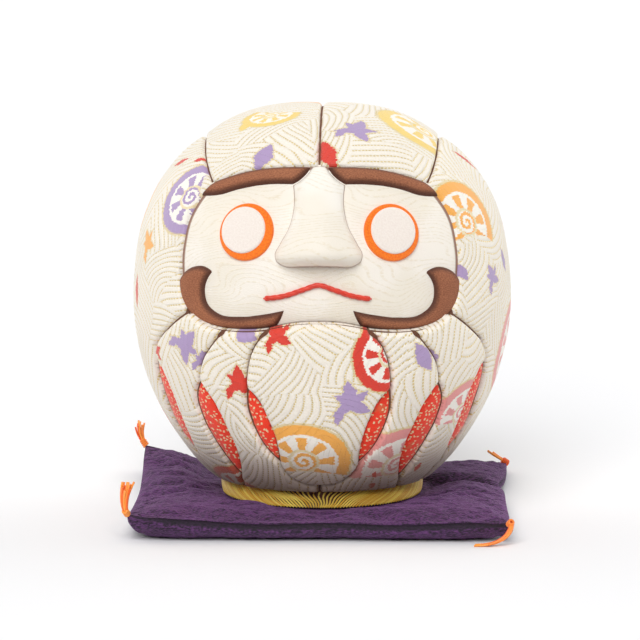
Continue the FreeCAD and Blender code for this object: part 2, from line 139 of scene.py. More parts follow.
class Face:
    """The recessed face: a part of a sphere."""

    @staticmethod
    def place(directions, lift=0.0):
        return FACE_MIDDLE + directions * (FACE_ARC + np.reshape(lift, (-1, 1)))

    @staticmethod
    def front(across, up):
        rise = up + BELLY_LEVEL - FACE_MIDDLE[2]
        depth = np.sqrt(np.maximum(FACE_ARC**2 - across**2 - rise**2, 0))
        return unit(np.column_stack([across, -depth, rise]))


def limited(values):
    """The values, but 0 for those below 0 and 1 for those above 1."""
    return np.clip(values, 0, 1)


def rounded(values):
    """A quarter of a circle, which starts upright at 0 and ends level at 1, for values up to 1."""
    return np.sqrt(1 - (1 - limited(values)) ** 2)


def hill(values, middle, width):
    """1 at the middle, falling off smoothly over about that width on both sides."""
    return np.exp(-(((values - middle) / width) ** 2))


# ---------------------------------------------------------------- flat charts of a form


def heading(turn, lift):
    """The direction some degrees round from straight ahead and some above the level."""
    turn, lift = math.radians(turn), math.radians(lift)
    return np.array([math.sin(turn) * math.cos(lift), -math.cos(turn) * math.cos(lift), math.sin(lift)])


class RoundChart:
    """Millimetres right and up about one direction, true in every direction from there."""

    def __init__(self, turn, lift, scale, lean=0.0):
        lean = math.radians(lean)
        self.ahead = heading(turn, lift)
        level = heading(turn + 90, 0)
        self.right = level * math.cos(lean) + np.cross(self.ahead, level) * math.sin(lean)
        self.up = np.cross(self.ahead, self.right)
        self.scale = scale

    def flatten(self, directions):
        away = np.arccos(np.clip(directions @ self.ahead, -1, 1))
        aside = np.column_stack([directions @ self.right, directions @ self.up])
        length = np.maximum(np.linalg.norm(aside, axis=1), 1e-9)
        return aside / length[:, None] * away[:, None] * self.scale

    def wrap(self, flat):
        away = np.linalg.norm(flat, axis=1, keepdims=True)
        aside = flat / np.maximum(away, 1e-9)
        outward = aside[:, :1] * self.right + aside[:, 1:] * self.up
        return self.ahead * np.cos(away / self.scale) + np.sin(away / self.scale) * outward


class StripChart:
    """Millimetres across from the middle plane, and over the head from the face's middle."""

    def __init__(self, scale):
        self.scale = scale

    def flatten(self, directions):
        across = np.arcsin(np.clip(directions[:, 0], -1, 1))
        over = np.arctan2(directions[:, 2], -directions[:, 1])
        over = np.where(over < -math.pi / 2, over + 2 * math.pi, over)
        return np.column_stack([across, over]) * self.scale

    def wrap(self, flat):
        across, over = flat[:, 0] / self.scale, flat[:, 1] / self.scale
        level = np.cos(across)
        return np.column_stack([np.sin(across), -level * np.cos(over), level * np.sin(over)])


# ---------------------------------------------------------------- seams, on the right-hand half
# Points are (across, above the widest level), seen from the front.

HOOD_EDGE = [(0, 34.6), (8, 34.4), (15.5, 33.3), (20, 31.9), (24.5, 29.8)]
CORNER_SEAM = [(24.5, 29.8), (26.2, 33), (27.1, 36), (27.3, 37.4)]
FACE_SIDE = [(24.5, 29.8), (27.6, 26.4), (30.2, 22), (31.6, 16.5), (32, 8.5), (31.6, 4.5), (30.2, 1.2)]
JAW_OUTER = [(30.2, 1.2), (28, -0.9), (25, -2), (22, -2.4)]
JAW_MIDDLE = [(22, -2.4), (17, -2.3), (11.6, -1.6)]
JAW_INNER = [(11.6, -1.6), (7.3, -0.5), (0, 0.1)]
OUTER_SEAM = [(30.2, 1.2), (34.6, -3), (37.3, -6.8), (38.2, -11.5)]
OUTER_INLAY_FRONT = [(38.2, -11.5), (36, -15.2), (33.6, -21.3), (31.2, -28), (28.2, -35.5)]
OUTER_INLAY_BACK = [(38.2, -11.5), (37.9, -15.6), (36.5, -21.3), (33.9, -28.3), (28.2, -35.5)]
OUTER_FOOT = [(28.2, -35.5), (22.5, -42)]
MIDDLE_SEAM = [(22, -2.4), (24.7, -5.8), (26.9, -9.8), (27.5, -15)]
MIDDLE_INLAY_FRONT = [(27.5, -15), (24.5, -19.3), (21.5, -25.6), (18.9, -32.7), (18.4, -39)]
MIDDLE_INLAY_BACK = [(27.5, -15), (28.5, -19), (27.4, -24), (24.3, -30.5), (21, -35.7), (18.4, -39)]
MIDDLE_FOOT = [(18.4, -39), (17.5, -42)]
INNER_SEAM = [(11.6, -1.6), (14.4, -4.8), (16, -9), (16.4, -15.4)]
INNER_INLAY_FRONT = [(16.4, -15.4), (13.9, -18), (11.7, -22.7), (9.9, -28.3), (9.1, -34)]
INNER_INLAY_BACK = [(16.4, -15.4), (16.5, -20), (15.1, -25), (12.4, -30.3), (9.1, -34)]
LAP_SEAM = [(9.1, -34), (6.2, -37.8), (2.8, -39.4), (0, -39.6)]
BACK_SEAM = [(27.3, 37.4), (26.5, 28), (24, 10), (19, -15), (12, -36), (9.5, -42)]

BROW_TOP = [(1.6, 34.4), (8, 34.4), (15.5, 33.3), (20, 31.9), (24.5, 29.8), (27.2, 26.8)]
BROW_BOTTOM = [(27.2, 26.8), (22.8, 27.4), (18.6, 28.9), (13, 30.2), (6, 30.6)]
NOSE_BROW = [(6, 30.6), (3.2, 32.4), (1.6, 34.4)]
NOSE_TOP = [(1.6, 34.4), (0, 34.6)]
NOSE_SIDE = [(6, 30.6), (5.8, 25.6), (6.8, 21.6), (8.8, 18), (10, 15.6), (9.6, 13.9)]
NOSE_BOTTOM = [(9.6, 13.9), (7.8, 12.9), (3.5, 12.9), (0, 13)]
MOUSTACHE_END = [(9.4, -0.9), (8.2, 1.2), (7.4, 3.4)]
MOUSTACHE_TOP = [(7.4, 3.4), (12.5, 2.1), (18, 1.2), (22.4, 1.3), (25.1, 3.2), (25.8, 6.6), (23.9, 10.8)]
MOUSTACHE_HOOK = [(23.9, 10.8), (26.4, 12), (29, 11.4), (31.9, 8.2)]
MOUSTACHE_SIDE = [(31.9, 8.2), (31.6, 4.5), *JAW_OUTER, (17, -2.3), (9.4, -0.9)]
MOUTH = [(-12.4, 5.6), (-7.6, 6.4), (-3.6, 7.8), (0, 8.9), (3.6, 7.8), (7.6, 6.4), (11.9, 5.6)]

STEP = 0.45  # between the points of a seam


def smooth(run):
    """A smooth curve through a run's points, or a straight one if it has two."""
    points = np.array(run, float)
    if len(points) == 2:
        count = max(int(np.linalg.norm(points[1] - points[0]) / STEP), 2)
        return points[0] + (points[1] - points[0]) * np.linspace(0, 1, count)[:, None]
    knots = np.concatenate([[0], np.cumsum(np.linalg.norm(np.diff(points, axis=0), axis=1))])
    slopes = np.gradient(points, knots, axis=0, edge_order=2)
    where = np.linspace(0, knots[-1], max(int(knots[-1] / STEP), 4))
    piece = np.clip(np.searchsorted(knots, where, side="right") - 1, 0, len(points) - 2)
    width = (knots[piece + 1] - knots[piece])[:, None]
    part = (where[:, None] - knots[piece][:, None]) / width
    return (
        points[piece] * (2 * part**3 - 3 * part**2 + 1)
        + slopes[piece] * width * (part**3 - 2 * part**2 + part)
        + points[piece + 1] * (3 * part**2 - 2 * part**3)
        + slopes[piece + 1] * width * (part**3 - part**2)
    )


def on_front(form, run):
    curve = smooth(run)
    return form.front(curve[:, 0], curve[:, 1])


def front(*runs):
    """Several runs on the front of the body, as directions."""
    return [on_front(Body, run) for run in runs]


def on_back(run):
    return on_front(Body, run) * [1, -1, 1]


def over_head(start, finish):
    """The middle plane's own line on the body, between two turns in degrees from straight ahead."""
    turns = np.radians(np.linspace(start, finish, int(abs(finish - start) * 0.75 / STEP)))
    return np.column_stack([np.zeros_like(turns), -np.cos(turns), np.sin(turns)])


def opposite(outline):
    return outline[::-1] * [-1, 1, 1]


def side_of(outline, sign):
    return outline if sign > 0 else opposite(outline)


def closed(*runs):
    """One loop of directions from runs that follow on, with no point twice and no long step."""
    loop = np.concatenate([run[:-1] for run in runs])
    loop = loop[np.linalg.norm(loop - np.roll(loop, 1, axis=0), axis=1) > 1e-4]
    ends = np.roll(loop, -1, axis=0)
    steps = np.ceil(np.linalg.norm(ends - loop, axis=1) * BELLY_RADIUS / (1.5 * STEP)).astype(int)
    parts = [np.linspace(*step, endpoint=False) for step in zip(loop, ends, steps)]
    return unit(np.concatenate(parts))


# ---------------------------------------------------------------- meshes


def new_object(name, data):
    """An object in the scene that shows a mesh, a lamp or a camera."""
    made = bpy.data.objects.new(name, data)
    bpy.context.scene.collection.objects.link(made)
    return made


def make_piece(name, points, faces, body, slot, replaced, material):
    """A mesh from points in millimetres, with what the frame has to know about it."""
    mesh = bpy.data.meshes.new(name)
    mesh.from_pydata((np.asarray(points) / METRE).tolist(), [], [list(face) for face in faces])
    mesh.update()
    mesh.shade_smooth()
    mesh.materials.append(material)
    piece = new_object(name, mesh)
    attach(piece, body)
    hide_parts(*replaced)
    return piece


def paint(piece, name, values):
    """Stores one number, or one row of three, for every vertex."""
    values = np.asarray(values, np.float32)
    kind, field = ("FLOAT", "value") if values.ndim == 1 else ("FLOAT_VECTOR", "vector")
    piece.data.attributes.new(name, kind, "POINT").data.foreach_set(field, values.ravel())


def gap_to_line(points, line):
    """The distance of each point from a closed line of points."""
    runs = np.roll(line, -1, axis=0) - line
    lengths = np.maximum((runs**2).sum(axis=1), 1e-12)
    nearest = np.full(len(points), np.inf)
    for first in range(0, len(points), 2000):
        some = points[first : first + 2000, None, :] - line
        part = limited((some * runs).sum(axis=2) / lengths)
        gaps = np.linalg.norm(some - part[:, :, None] * runs, axis=2)
        nearest[first : first + 2000] = gaps.min(axis=1)
    return nearest


def inside(points, loop):
    """Which points lie inside a closed flat loop."""
    crossings = np.zeros(len(points), int)
    ends = np.roll(loop, -1, axis=0)
    for (x0, y0), (x1, y1) in zip(loop, ends):
        if y0 == y1:
            continue
        spans = (points[:, 1] > min(y0, y1)) & (points[:, 1] <= max(y0, y1))
        where = x0 + (points[:, 1] - y0) / (y1 - y0) * (x1 - x0)
        crossings += spans & (points[:, 0] < where)
    return crossings % 2 == 1


EDGE_ROWS = (0.12, 0.3, 0.55, 0.85, 1.2, 1.6, 2.1)  # rows of points that follow a seam


def signed_area(loop):
    """The area in a flat loop of points, negative if it runs clockwise."""
    after = np.roll(loop, -1, axis=0)
    return (loop[:, 0] * after[:, 1] - loop[:, 1] * after[:, 0]).sum() / 2


def inward_of(loop):
    """At each point of a flat loop, the direction into it."""
    tangents = np.roll(loop, -1, axis=0) - np.roll(loop, 1, axis=0)
    inward = unit(np.column_stack([-tangents[:, 1], tangents[:, 0]]))
    return inward if signed_area(loop) > 0 else -inward


def fill_outline(loop, grain):
    """Triangles inside a flat loop, fine beside it and of the size grain further in."""
    inward = inward_of(loop)
    groups = [loop]
    for gap in EDGE_ROWS:
        row = loop + inward * gap
        row = row[inside(row, loop)]
        groups.append(row[gap_to_line(row, loop) > 0.92 * gap])
    low, high = loop.min(axis=0), loop.max(axis=0)
    rows = np.arange(low[1], high[1], grain * 0.866)
    columns = np.arange(low[0], high[0], grain)
    shifted = [(x + (n % 2) * grain / 2, y) for n, y in enumerate(rows) for x in columns]
    lattice = np.array(shifted)
    lattice = lattice[inside(lattice, loop)]
    groups.append(lattice[gap_to_line(lattice, loop) > EDGE_ROWS[-1] + 0.4 * grain])
    points = [Vector(point) for point in np.concatenate(groups)]
    rim = [(n, (n + 1) % len(loop)) for n in range(len(loop))]
    found, _, faces, *_ = delaunay_2d_cdt(points, rim, [], 1, 1e-5)
    return np.array([tuple(point) for point in found]), faces


def rolled(gaps, radius, depth):
    """The drop of a cloth edge that rolls over into a groove."""
    return -depth * (1 - rounded(gaps / radius))


def ripples(points, size, seed):
    """Smooth noise from -1 to 1, whose lumps are that many millimetres across."""
    lattice = np.random.default_rng(int(seed * 10) + 7000).uniform(-1, 1, (32, 32, 32))
    place = np.asarray(points) / size + 500
    cell = np.floor(place).astype(int)
    part = place - cell
    part = part * part * (3 - 2 * part)
    total = np.zeros(len(place))
    for corner in np.ndindex(2, 2, 2):
        share = np.abs(1 - np.array(corner) - part).prod(axis=1)
        total += share * lattice[tuple(((cell + corner) % 32).T)]
    return total


def declare_sheet(outline, sides):
    """Works out the area of cloth for a sheet stretched over what is under it, cut to a flat outline and,
    all round, as much more as its sides are high. The area is not used."""
    around = np.linalg.norm(np.roll(outline, -1, axis=0) - outline, axis=1).sum()
    area = (abs(signed_area(outline)) + around * sides) / METRE**2


CORE = ["core_front_half", "core_back_half"]


def quilt(name, form, chart, outline, lift, grain=1.1, motifs=(), under=CORE[:1], sides=0.0, **looks):
    """A cloth piece over a form. lift says how far each point stands out, from its distance from the
    seam and its place. The chart's place is kept for the cloth's pattern."""
    flat, faces = fill_outline(chart.flatten(outline), grain)
    directions = chart.wrap(flat)
    grounded = form.place(directions)
    gaps = gap_to_line(grounded, form.place(outline))
    points = form.place(directions, lift(gaps, grounded))
    piece = make_piece(name, points, faces, "doll", **looks)
    apart = sum(map(ord, name)) * 7.7  # so that no two pieces are cut from the same spot of the cloth
    paint(piece, "cloth", np.column_stack([flat + apart, np.zeros(len(flat))]))
    paint(piece, "seam_gap", gaps)
    if motifs:
        weave_motifs(piece, flat, list(motifs))
    declare_sheet(chart.flatten(outline), sides)
    return piece


def weave_motifs(piece, flat, motifs):
    """Stores, for every corner of every face, its place in the nearest motif's own axes, and that
    motif's kind, dye and axes."""
    mesh = piece.data
    corner_points = np.zeros(len(mesh.loops), int)
    mesh.loops.foreach_get("vertex_index", corner_points)
    sides = np.zeros(len(mesh.polygons), int)
    mesh.polygons.foreach_get("loop_total", sides)
    owner = np.repeat(np.arange(len(sides)), sides)
    middles = np.array([np.bincount(owner, flat[corner_points, n]) / sides for n in (0, 1)]).T
    frames = []
    for _, _, centre, size, turn in motifs:
        cosine, sine = math.cos(math.radians(turn)), math.sin(math.radians(turn))
        axes = np.array([[cosine, sine], [-sine, cosine]]) / np.reshape(size, (2, 1))
        frames.append((np.array(centre), axes))
    far = [np.linalg.norm((middles - centre) @ axes.T, axis=1) for centre, axes in frames]
    chosen = np.argmin(far, axis=0)[owner]
    centres = np.array([centre for centre, _ in frames])[chosen]
    axes = np.array([matrix for _, matrix in frames])[chosen]
    place = np.einsum("nij,nj->ni", axes, flat[corner_points] - centres)
    kinds = np.array([KINDS.index(motif[0]) for motif in motifs], float)[chosen]
    dyes = np.array([motif[1] for motif in motifs])[chosen]
    rows = {
        "motif_place": np.column_stack([place, kinds]),
        "motif_across": np.column_stack([axes[:, :, 0], kinds]),
        "motif_up": np.column_stack([axes[:, :, 1], kinds]),
        "motif_dye": dyes,
    }
    for name, values in rows.items():
        layer = mesh.attributes.new(name, "FLOAT_VECTOR", "CORNER")
        layer.data.foreach_set("vector", values.astype(np.float32).ravel())


# ---------------------------------------------------------------- shader graphs


class Value:
    """A number in a material's graph. Arithmetic on it adds the nodes that work it out."""

    def __init__(self, graph, socket):
        self.graph = graph
        self.socket = socket

    def __add__(self, other):
        return self.graph.math("ADD", self, other)

    def __sub__(self, other):
        return self.graph.math("SUBTRACT", self, other)

    def __rsub__(self, other):
        return self.graph.math("SUBTRACT", other, self)

    def __mul__(self, other):
        return self.graph.math("MULTIPLY", self, other)

    def __truediv__(self, other):
        return self.graph.math("DIVIDE", self, other)

    def __abs__(self):
        return self.graph.math("ABSOLUTE", self)

    def zigzag(self):
        """0 at every whole number and 0.5 half way between two."""
        return self.graph.math("PINGPONG", self, 0.5)

    def ramp(self, low, high):
        """0 below low, 1 above high, smooth between; the other way round if low is the higher."""
        inputs = {0: self, 1: low, 2: high}
        made = self.graph.node("ShaderNodeMapRange", inputs, interpolation_type="SMOOTHSTEP")
        return Value(self.graph, made.outputs[0])


class Graph:
    """Short names for building a material's nodes. Any input can be a socket, a Value, a number or a
    vector."""

    def __init__(self, name):
        self.material = bpy.data.materials.new(name)
        self.material.use_nodes = True
        self.tree = self.material.node_tree
        self.shader = self.tree.nodes["Principled BSDF"]

    def feed(self, socket, value):
        if isinstance(value, Value):
            value = value.socket
        if isinstance(value, bpy.types.NodeSocket):
            self.tree.links.new(value, socket)
        else:
            socket.default_value = value

    def node(self, kind, inputs=(), **settings):
        made = self.tree.nodes.new(kind)
        for name, value in settings.items():
            setattr(made, name, value)
        for where, value in dict(inputs).items():
            self.feed(made.inputs[where], value)
        return made

    def math(self, operation, *values):
        made = self.node("ShaderNodeMath", enumerate(values), operation=operation)
        return Value(self, made.outputs[0])

    def vector(self, operation, *values):
        return self.node("ShaderNodeVectorMath", enumerate(values), operation=operation).outputs[0]

    def measure(self, operation, *values):
        """A vector operation that gives a number."""
        made = self.node("ShaderNodeVectorMath", enumerate(values), operation=operation)
        return Value(self, made.outputs[1])

    def scaled(self, vector, scale):
        return self.node("ShaderNodeVectorMath", {0: vector, "Scale": scale}, operation="SCALE").outputs[0]

    def attribute(self, name):
        """A stored vector."""
        return self.node("ShaderNodeAttribute", attribute_name=name).outputs["Vector"]

    def number(self, name):
        """A stored number."""
        return Value(self, self.node("ShaderNodeAttribute", attribute_name=name).outputs["Fac"])

    def place(self):
        """The place on the object itself, in metres."""
        return self.node("ShaderNodeTexCoord").outputs["Object"]

    def split(self, vector):
        return [Value(self, part) for part in self.node("ShaderNodeSeparateXYZ", {0: vector}).outputs]

    def join(self, x, y):
        return self.node("ShaderNodeCombineXYZ", {0: x, 1: y}).outputs[0]

    def mix(self, factor, first, second):
        made = self.node("ShaderNodeMix", {0: factor}, data_type="RGBA")
        for socket, value in ((made.inputs[6], first), (made.inputs[7], second)):
            self.feed(socket, (*value, 1) if isinstance(value, tuple) else value)
        return made.outputs[2]

    def noise(self, place, scale, detail=2.0):
        """Cloudy noise from 0 to 1. Its scale can be one number or one for each axis."""
        if isinstance(scale, tuple):
            place = self.vector("MULTIPLY", place, scale)
            scale = 1.0
        made = self.node("ShaderNodeTexNoise", {"Vector": place, "Scale": scale, "Detail": detail})
        return Value(self, made.outputs[0])

    def chance(self, value):
        """A random number from 0 to 1 for every value."""
        made = self.node("ShaderNodeTexWhiteNoise", {"W": value}, noise_dimensions="1D")
        return Value(self, made.outputs[0])

    def cells(self, place, scale):
        inputs = {"Vector": place, "Scale": scale}
        return self.node("ShaderNodeTexVoronoi", inputs, voronoi_dimensions="2D").outputs

    def bump(self, height, strength, distance):
        inputs = {"Strength": strength, "Distance": distance / METRE, "Height": height}
        self.feed(self.shader.inputs["Normal"], self.node("ShaderNodeBump", inputs).outputs[0])

    def finish(self, colour, **sockets):
        """The material, once its colour and other sockets are fed."""
        self.feed(self.shader.inputs["Base Color"], colour)
        for name, value in sockets.items():
            self.feed(self.shader.inputs[name.replace("_", " ").title()], value)
        return self.material


def linear(red, green, blue):
    """A colour as seen on a screen, 0 to 255, as the shader wants it."""

    def one(value):
        value /= 255
        return value / 12.92 if value <= 0.04045 else ((value + 0.055) / 1.055) ** 2.4

    return (one(red), one(green), one(blue))


IVORY = linear(251, 245, 235)
GOLD = linear(226, 200, 118)
LILAC = linear(176, 152, 194)
ORANGE = linear(250, 178, 82)
YELLOW = linear(246, 214, 118)
RED = linear(222, 58, 40)
PINK = linear(236, 156, 152)

THREAD_ROW = 0.3  # between two weft threads
WAVE_PITCH = 1.5  # between two gold lines
WAVE_PATCH = 13.0  # across a patch of lines that run one way
WAVE_BEND = 17.0  # from a patch's middle to the middle of its arcs
STITCH = 0.72  # between two gold stitches of a line


def woven_shift(graph, drift=0.5):
    """The cloth's place, and how far each spot of it moves when every weft thread lies on its own
    line and has slipped a little along it, which frays a pattern's edge."""
    cloth = graph.attribute("cloth")
    up = graph.split(cloth)[1]
    row = graph.math("FLOOR", up / THREAD_ROW)
    slip = (graph.chance(row) - 0.5) * drift
    return cloth, graph.join(slip, row * THREAD_ROW - up)


def wave_lines(graph, cloth):
    """Gold stitches along nested arcs, in patches whose arcs face different ways. Returns the
    stitches, the lines they lie on and how the cloth puffs up between these."""
    inputs = {"Vector": cloth, "Scale": 0.07, "Detail": 0.0}
    clouds = graph.node("ShaderNodeTexNoise", inputs, noise_dimensions="2D").outputs["Color"]
    wander = graph.scaled(graph.vector("SUBTRACT", clouds, (0.5, 0.5, 0.5)), 5.0)
    place = graph.vector("ADD", cloth, wander)
    patch = graph.cells(place, 1 / WAVE_PATCH)
    turn = graph.split(patch["Color"])[0] * (2 * math.pi)
    far = graph.join(graph.math("COSINE", turn) * WAVE_BEND, graph.math("SINE", turn) * WAVE_BEND)
    away = graph.vector("SUBTRACT", graph.vector("SUBTRACT", place, patch["Position"]), far)
    x, y, _ = graph.split(away)
    phase = graph.measure("LENGTH", away) / WAVE_PITCH
    from_line = 0.5 - (phase + 0.5).zigzag()
    line = from_line.ramp(0.13, 0.06)
    ring = graph.math("ROUND", phase) * (WAVE_PITCH / STITCH)
    along = graph.math("ARCTAN2", y, x) * ring
    stitch = line * along.zigzag().ramp(0.12, 0.24)
    return stitch, line, from_line.ramp(0.02, 0.3)


KINDS = ["wheel", "bird", "leaf"]


def within(graph, place, centre, size, turn):
    """A place in the axes of a part of a motif."""
    moved = graph.vector("SUBTRACT", place, (*centre, 0))
    inputs = {"Vector": moved, "Angle": -math.radians(turn)}
    spun = graph.node("ShaderNodeVectorRotate", inputs, rotation_type="Z_AXIS").outputs[0]
    return graph.vector("MULTIPLY", spun, (1 / size[0], 1 / size[1], 0))


def band(value, low, high):
    """1 between low and high."""
    return value.ramp(low, low + 0.02) * value.ramp(high, high - 0.02)


def wheel(graph, place):
    """A spoked wheel half risen from the waves: its area, its coloured parts and its outline."""
    x, y, _ = graph.split(place)
    radius = graph.measure("LENGTH", place)
    angle = graph.math("ARCTAN2", y, x)
    spokes = graph.math("COSINE", angle * 8.0).ramp(-0.05, 0.05) * band(radius, 0.32, 0.66)
    swirl = radius / 0.16 + angle / (2 * math.pi)
    hub = swirl.zigzag().ramp(0.24, 0.27) * band(radius, -1, 0.28)
    parts = graph.math("MAXIMUM", graph.math("MAXIMUM", band(radius, 0.72, 1.0), spokes), hub)
    edges = [abs(radius - at).ramp(0.045, 0.02) for at in (0.3, 1.01)]
    risen = graph.math("MULTIPLY_ADD", graph.math("POWER", x, 2.0), 0.3, y).ramp(-0.31, -0.29)
    shown = [radius.ramp(1.02, 1.0), parts, graph.math("MAXIMUM", *edges)]
    return [part * risen for part in shown]


def leaf_gap(graph, place):
    """How far outside a pointed leaf each place is: below 0 inside it."""
    x, y, _ = graph.split(place)
    width = 1.0 - graph.math("POWER", abs(y), 1.6)
    return abs(x) - width


def shape_of_gap(gap, soft):
    """The area, coloured parts and outline of a shape that ends where the gap is 0."""
    area = gap.ramp(soft, -soft)
    edge = abs(gap - 3 * soft).ramp(3 * soft, soft)
    return [area, area, edge]


def leaf(graph, place):
    """A plain leaf: its area, its coloured parts and its outline."""
    return shape_of_gap(leaf_gap(graph, place), 0.04)


BIRD = [  # the leaves that make up a bird flying to the right: middle, size and lean
    ((0.05, 0.0), (0.27, 1.0), -90),
    ((0.3, 0.42), (0.3, 0.64), -22),
    ((-0.02, 0.3), (0.24, 0.52), 28),
    ((0.2, -0.36), (0.28, 0.56), 205),
    ((-0.7, -0.2), (0.18, 0.42), -50),
]


def bird(graph, place):
    """A small bird in flight, made of leaves: its area, its coloured parts and its outline."""
    gaps = [leaf_gap(graph, within(graph, place, *part)) for part in BIRD]
    nearest = gaps[0]
    for gap in gaps[1:]:
        nearest = graph.math("MINIMUM", nearest, gap)
    return shape_of_gap(nearest, 0.07)


SEAM_SHADE = linear(88, 46, 32)
TUCK = 0.7  # how far an inlay or the face runs under the cloth round it


def painted_groove_shade(graph, colour, reach=0.13, full=0.0, tucks=0.45, strength=0.92, shade=SEAM_SHADE):
    """Painted shade in a seam's groove, from reach down to full, and in the tucks there; its brown also
    stands for the thread.
    """
    gap = graph.number("seam_gap")
    folds = graph.noise(graph.attribute("cloth"), 1.2, 1.0).ramp(0.5, 0.72)
    beside = folds * gap.ramp(reach + 0.6, reach) * tucks
    near = gap.ramp(reach, full) * strength
    return graph.mix(graph.math("MAXIMUM", near, beside), colour, shade)


def ribs_of(graph, cloth):
    """The weft threads, side by side up the cloth."""
    return (graph.split(cloth)[1] / THREAD_ROW).zigzag()


def motif_marks(graph, shift):
    """The area, the coloured parts and the outline of whichever motif is nearest."""
    stored = graph.attribute("motif_place")
    place = stored
    for axis, by in zip(("motif_across", "motif_up"), graph.split(shift)):
        place = graph.vector("ADD", place, graph.scaled(graph.attribute(axis), by))
    place = graph.vector("MULTIPLY", place, (1, 1, 0))
    kind = graph.split(stored)[2]
    shown = [0.0, 0.0, 0.0]
    for number, shape in enumerate((wheel, bird, leaf)):
        chosen = graph.math("COMPARE", kind, float(number), 0.5)
        marks = zip(shape(graph, place), shown)
        shown = [graph.math("MULTIPLY_ADD", mark, chosen, before) for mark, before in marks]
    return shown


PAINTED_FOOT_SHADE_HEIGHT = 17.0  # how high above the foot the brocade gets painted shade, for the lower body's shade


def brocade():
    """Ivory brocade with gold wave lines and the motifs that weave_motifs stored."""
    graph = Graph("brocade")
    cloth, shift = woven_shift(graph)
    stitch, line, puff = wave_lines(graph, graph.vector("ADD", cloth, graph.scaled(shift, 0.25)))
    twill = graph.measure("DOT_PRODUCT", cloth, (1.7, 2.6, 0.0)).zigzag()
    weave = graph.math("MULTIPLY_ADD", graph.noise(cloth, 2.2), 0.9, twill * 0.5)
    colour = graph.mix(weave.ramp(0.3, 0.95), linear(241, 232, 217), IVORY)
    colour = graph.mix(line * 0.4, colour, linear(240, 226, 188))
    colour = graph.mix(stitch * 0.8, colour, GOLD)
    area, parts, edge = motif_marks(graph, shift)
    colour = graph.mix(area, colour, IVORY)
    colour = graph.mix(parts, colour, graph.attribute("motif_dye"))
    colour = graph.mix(edge * 0.6, colour, GOLD)
    slubs = graph.noise(cloth, (1.6, 4.0, 1.0))
    height = graph.math("MULTIPLY_ADD", puff * (1.0 - area), 0.8, ribs_of(graph, cloth) * 0.3)
    height = graph.math("MULTIPLY_ADD", slubs, 0.5, height)
    height = graph.math("MULTIPLY_ADD", stitch, 0.45, height)
    graph.bump(height, 0.75, 0.26)
    # Painted shade: the brocade turns brown towards the foot, where the lower body is in shade, and darkens
    # in its seams' grooves.
    level = graph.split(graph.place())[2]
    painted_foot_shade = level.ramp((FOOT_LEVEL + PAINTED_FOOT_SHADE_HEIGHT) / METRE, FOOT_LEVEL / METRE)
    colour = painted_groove_shade(graph, graph.mix(painted_foot_shade * 0.75, colour, linear(122, 88, 68)))
    metal = stitch * 0.75 * (1.0 - area)
    return graph.finish(colour, metallic=metal, roughness=0.5, sheen_weight=0.2, sheen_roughness=0.4)


def red_brocade():
    graph = Graph("red_brocade")
    cloth, shift = woven_shift(graph, 0.3)
    place = graph.vector("MULTIPLY", graph.vector("ADD", cloth, shift), (0.75, 0.9, 1.0))
    cells = graph.cells(place, 1.2)
    chance = graph.split(cells["Color"])[0]
    fleck = Value(graph, cells["Distance"]).ramp(0.3, 0.2) * chance.ramp(0.2, 0.3)
    blotch = graph.noise(cloth, 0.33, 1.0).ramp(0.64, 0.7)
    colour = graph.mix(graph.noise(cloth, 0.5), linear(252, 40, 10), linear(255, 66, 22))
    colour = graph.mix(blotch * 0.4, colour, linear(216, 130, 76))
    colour = graph.mix(fleck, colour, linear(248, 224, 176))
    rough = ribs_of(graph, cloth) + graph.noise(cloth, 2.5)
    graph.bump(graph.math("MULTIPLY_ADD", fleck, 0.6, rough), 0.6, 0.2)
    # Painted shade where the inlay tucks under the brocade round it.
    colour = painted_groove_shade(graph, colour, TUCK + 0.25, TUCK - 0.15, 0.7)
    return graph.finish(colour, roughness=0.6, sheen_weight=0.3, sheen_roughness=0.4)


def face_silk(name, light, deep, seam):
    """The face's plain silk, with faint wavy lines, and painted shade along its seam as far from its edge as
    given.
    """
    graph = Graph(name)
    cloth = graph.attribute("cloth")
    drift = graph.noise(cloth, (0.05, 0.09, 1.0), 1.0)
    phase = graph.math("MULTIPLY_ADD", drift, 16.0, graph.split(cloth)[1] / 1.1)
    line = phase.zigzag().ramp(0.3, 0.46)
    grain = graph.noise(cloth, (1.0, 2.4, 1.0)).ramp(0.35, 0.65)
    colour = graph.mix(graph.noise(cloth, 0.07, 1.0).ramp(0.4, 0.62), light, deep)
    colour = graph.mix(line * grain * 0.45, colour, linear(224, 208, 174))
    threads = graph.noise(cloth, (2.6, 5.0, 1.0))
    graph.bump(graph.math("MULTIPLY_ADD", line, 0.35, threads), 0.5, 0.16)
    # The colour of the painted shade along the seam.
    shade = linear(128, 72, 44)
    colour = painted_groove_shade(graph, colour, seam + 0.5, seam + 0.05, 0.0, 0.85, shade)
    return graph.finish(colour, roughness=0.55, sheen_weight=0.15, sheen_roughness=0.35)


def crepe(name, dark, light, grain, depth, tint, seam, shade):
    """A crepe weave: short wavy ridges across the cloth, with painted shade at its edge as far in as given.
    """
    graph = Graph(name)
    cloth = graph.attribute("cloth")
    ridges = graph.noise(cloth, (0.5 / grain, 1.0 / grain, 1.0 / grain))
    tone = graph.math("MULTIPLY_ADD", graph.noise(cloth, 0.12), 0.2, ridges * 0.8)
    colour = graph.mix(tone.ramp(0.36, 0.68), dark, light)
    graph.bump(ridges, 0.9, depth)
    # Painted shade at the cloth's edge.
    colour = painted_groove_shade(graph, colour, seam, seam * 0.25, 0.0, 0.85, shade)
    return graph.finish(colour, roughness=0.8, sheen_weight=0.4, sheen_roughness=0.45, sheen_tint=(*tint, 1))


def felt(graph, fibres, dark, light, **looks):
    """Matted fibres, from the given noise."""
    graph.bump(fibres, 0.5, 0.15)
    return graph.finish(graph.mix(fibres.ramp(0.3, 0.7), dark, light), **looks)


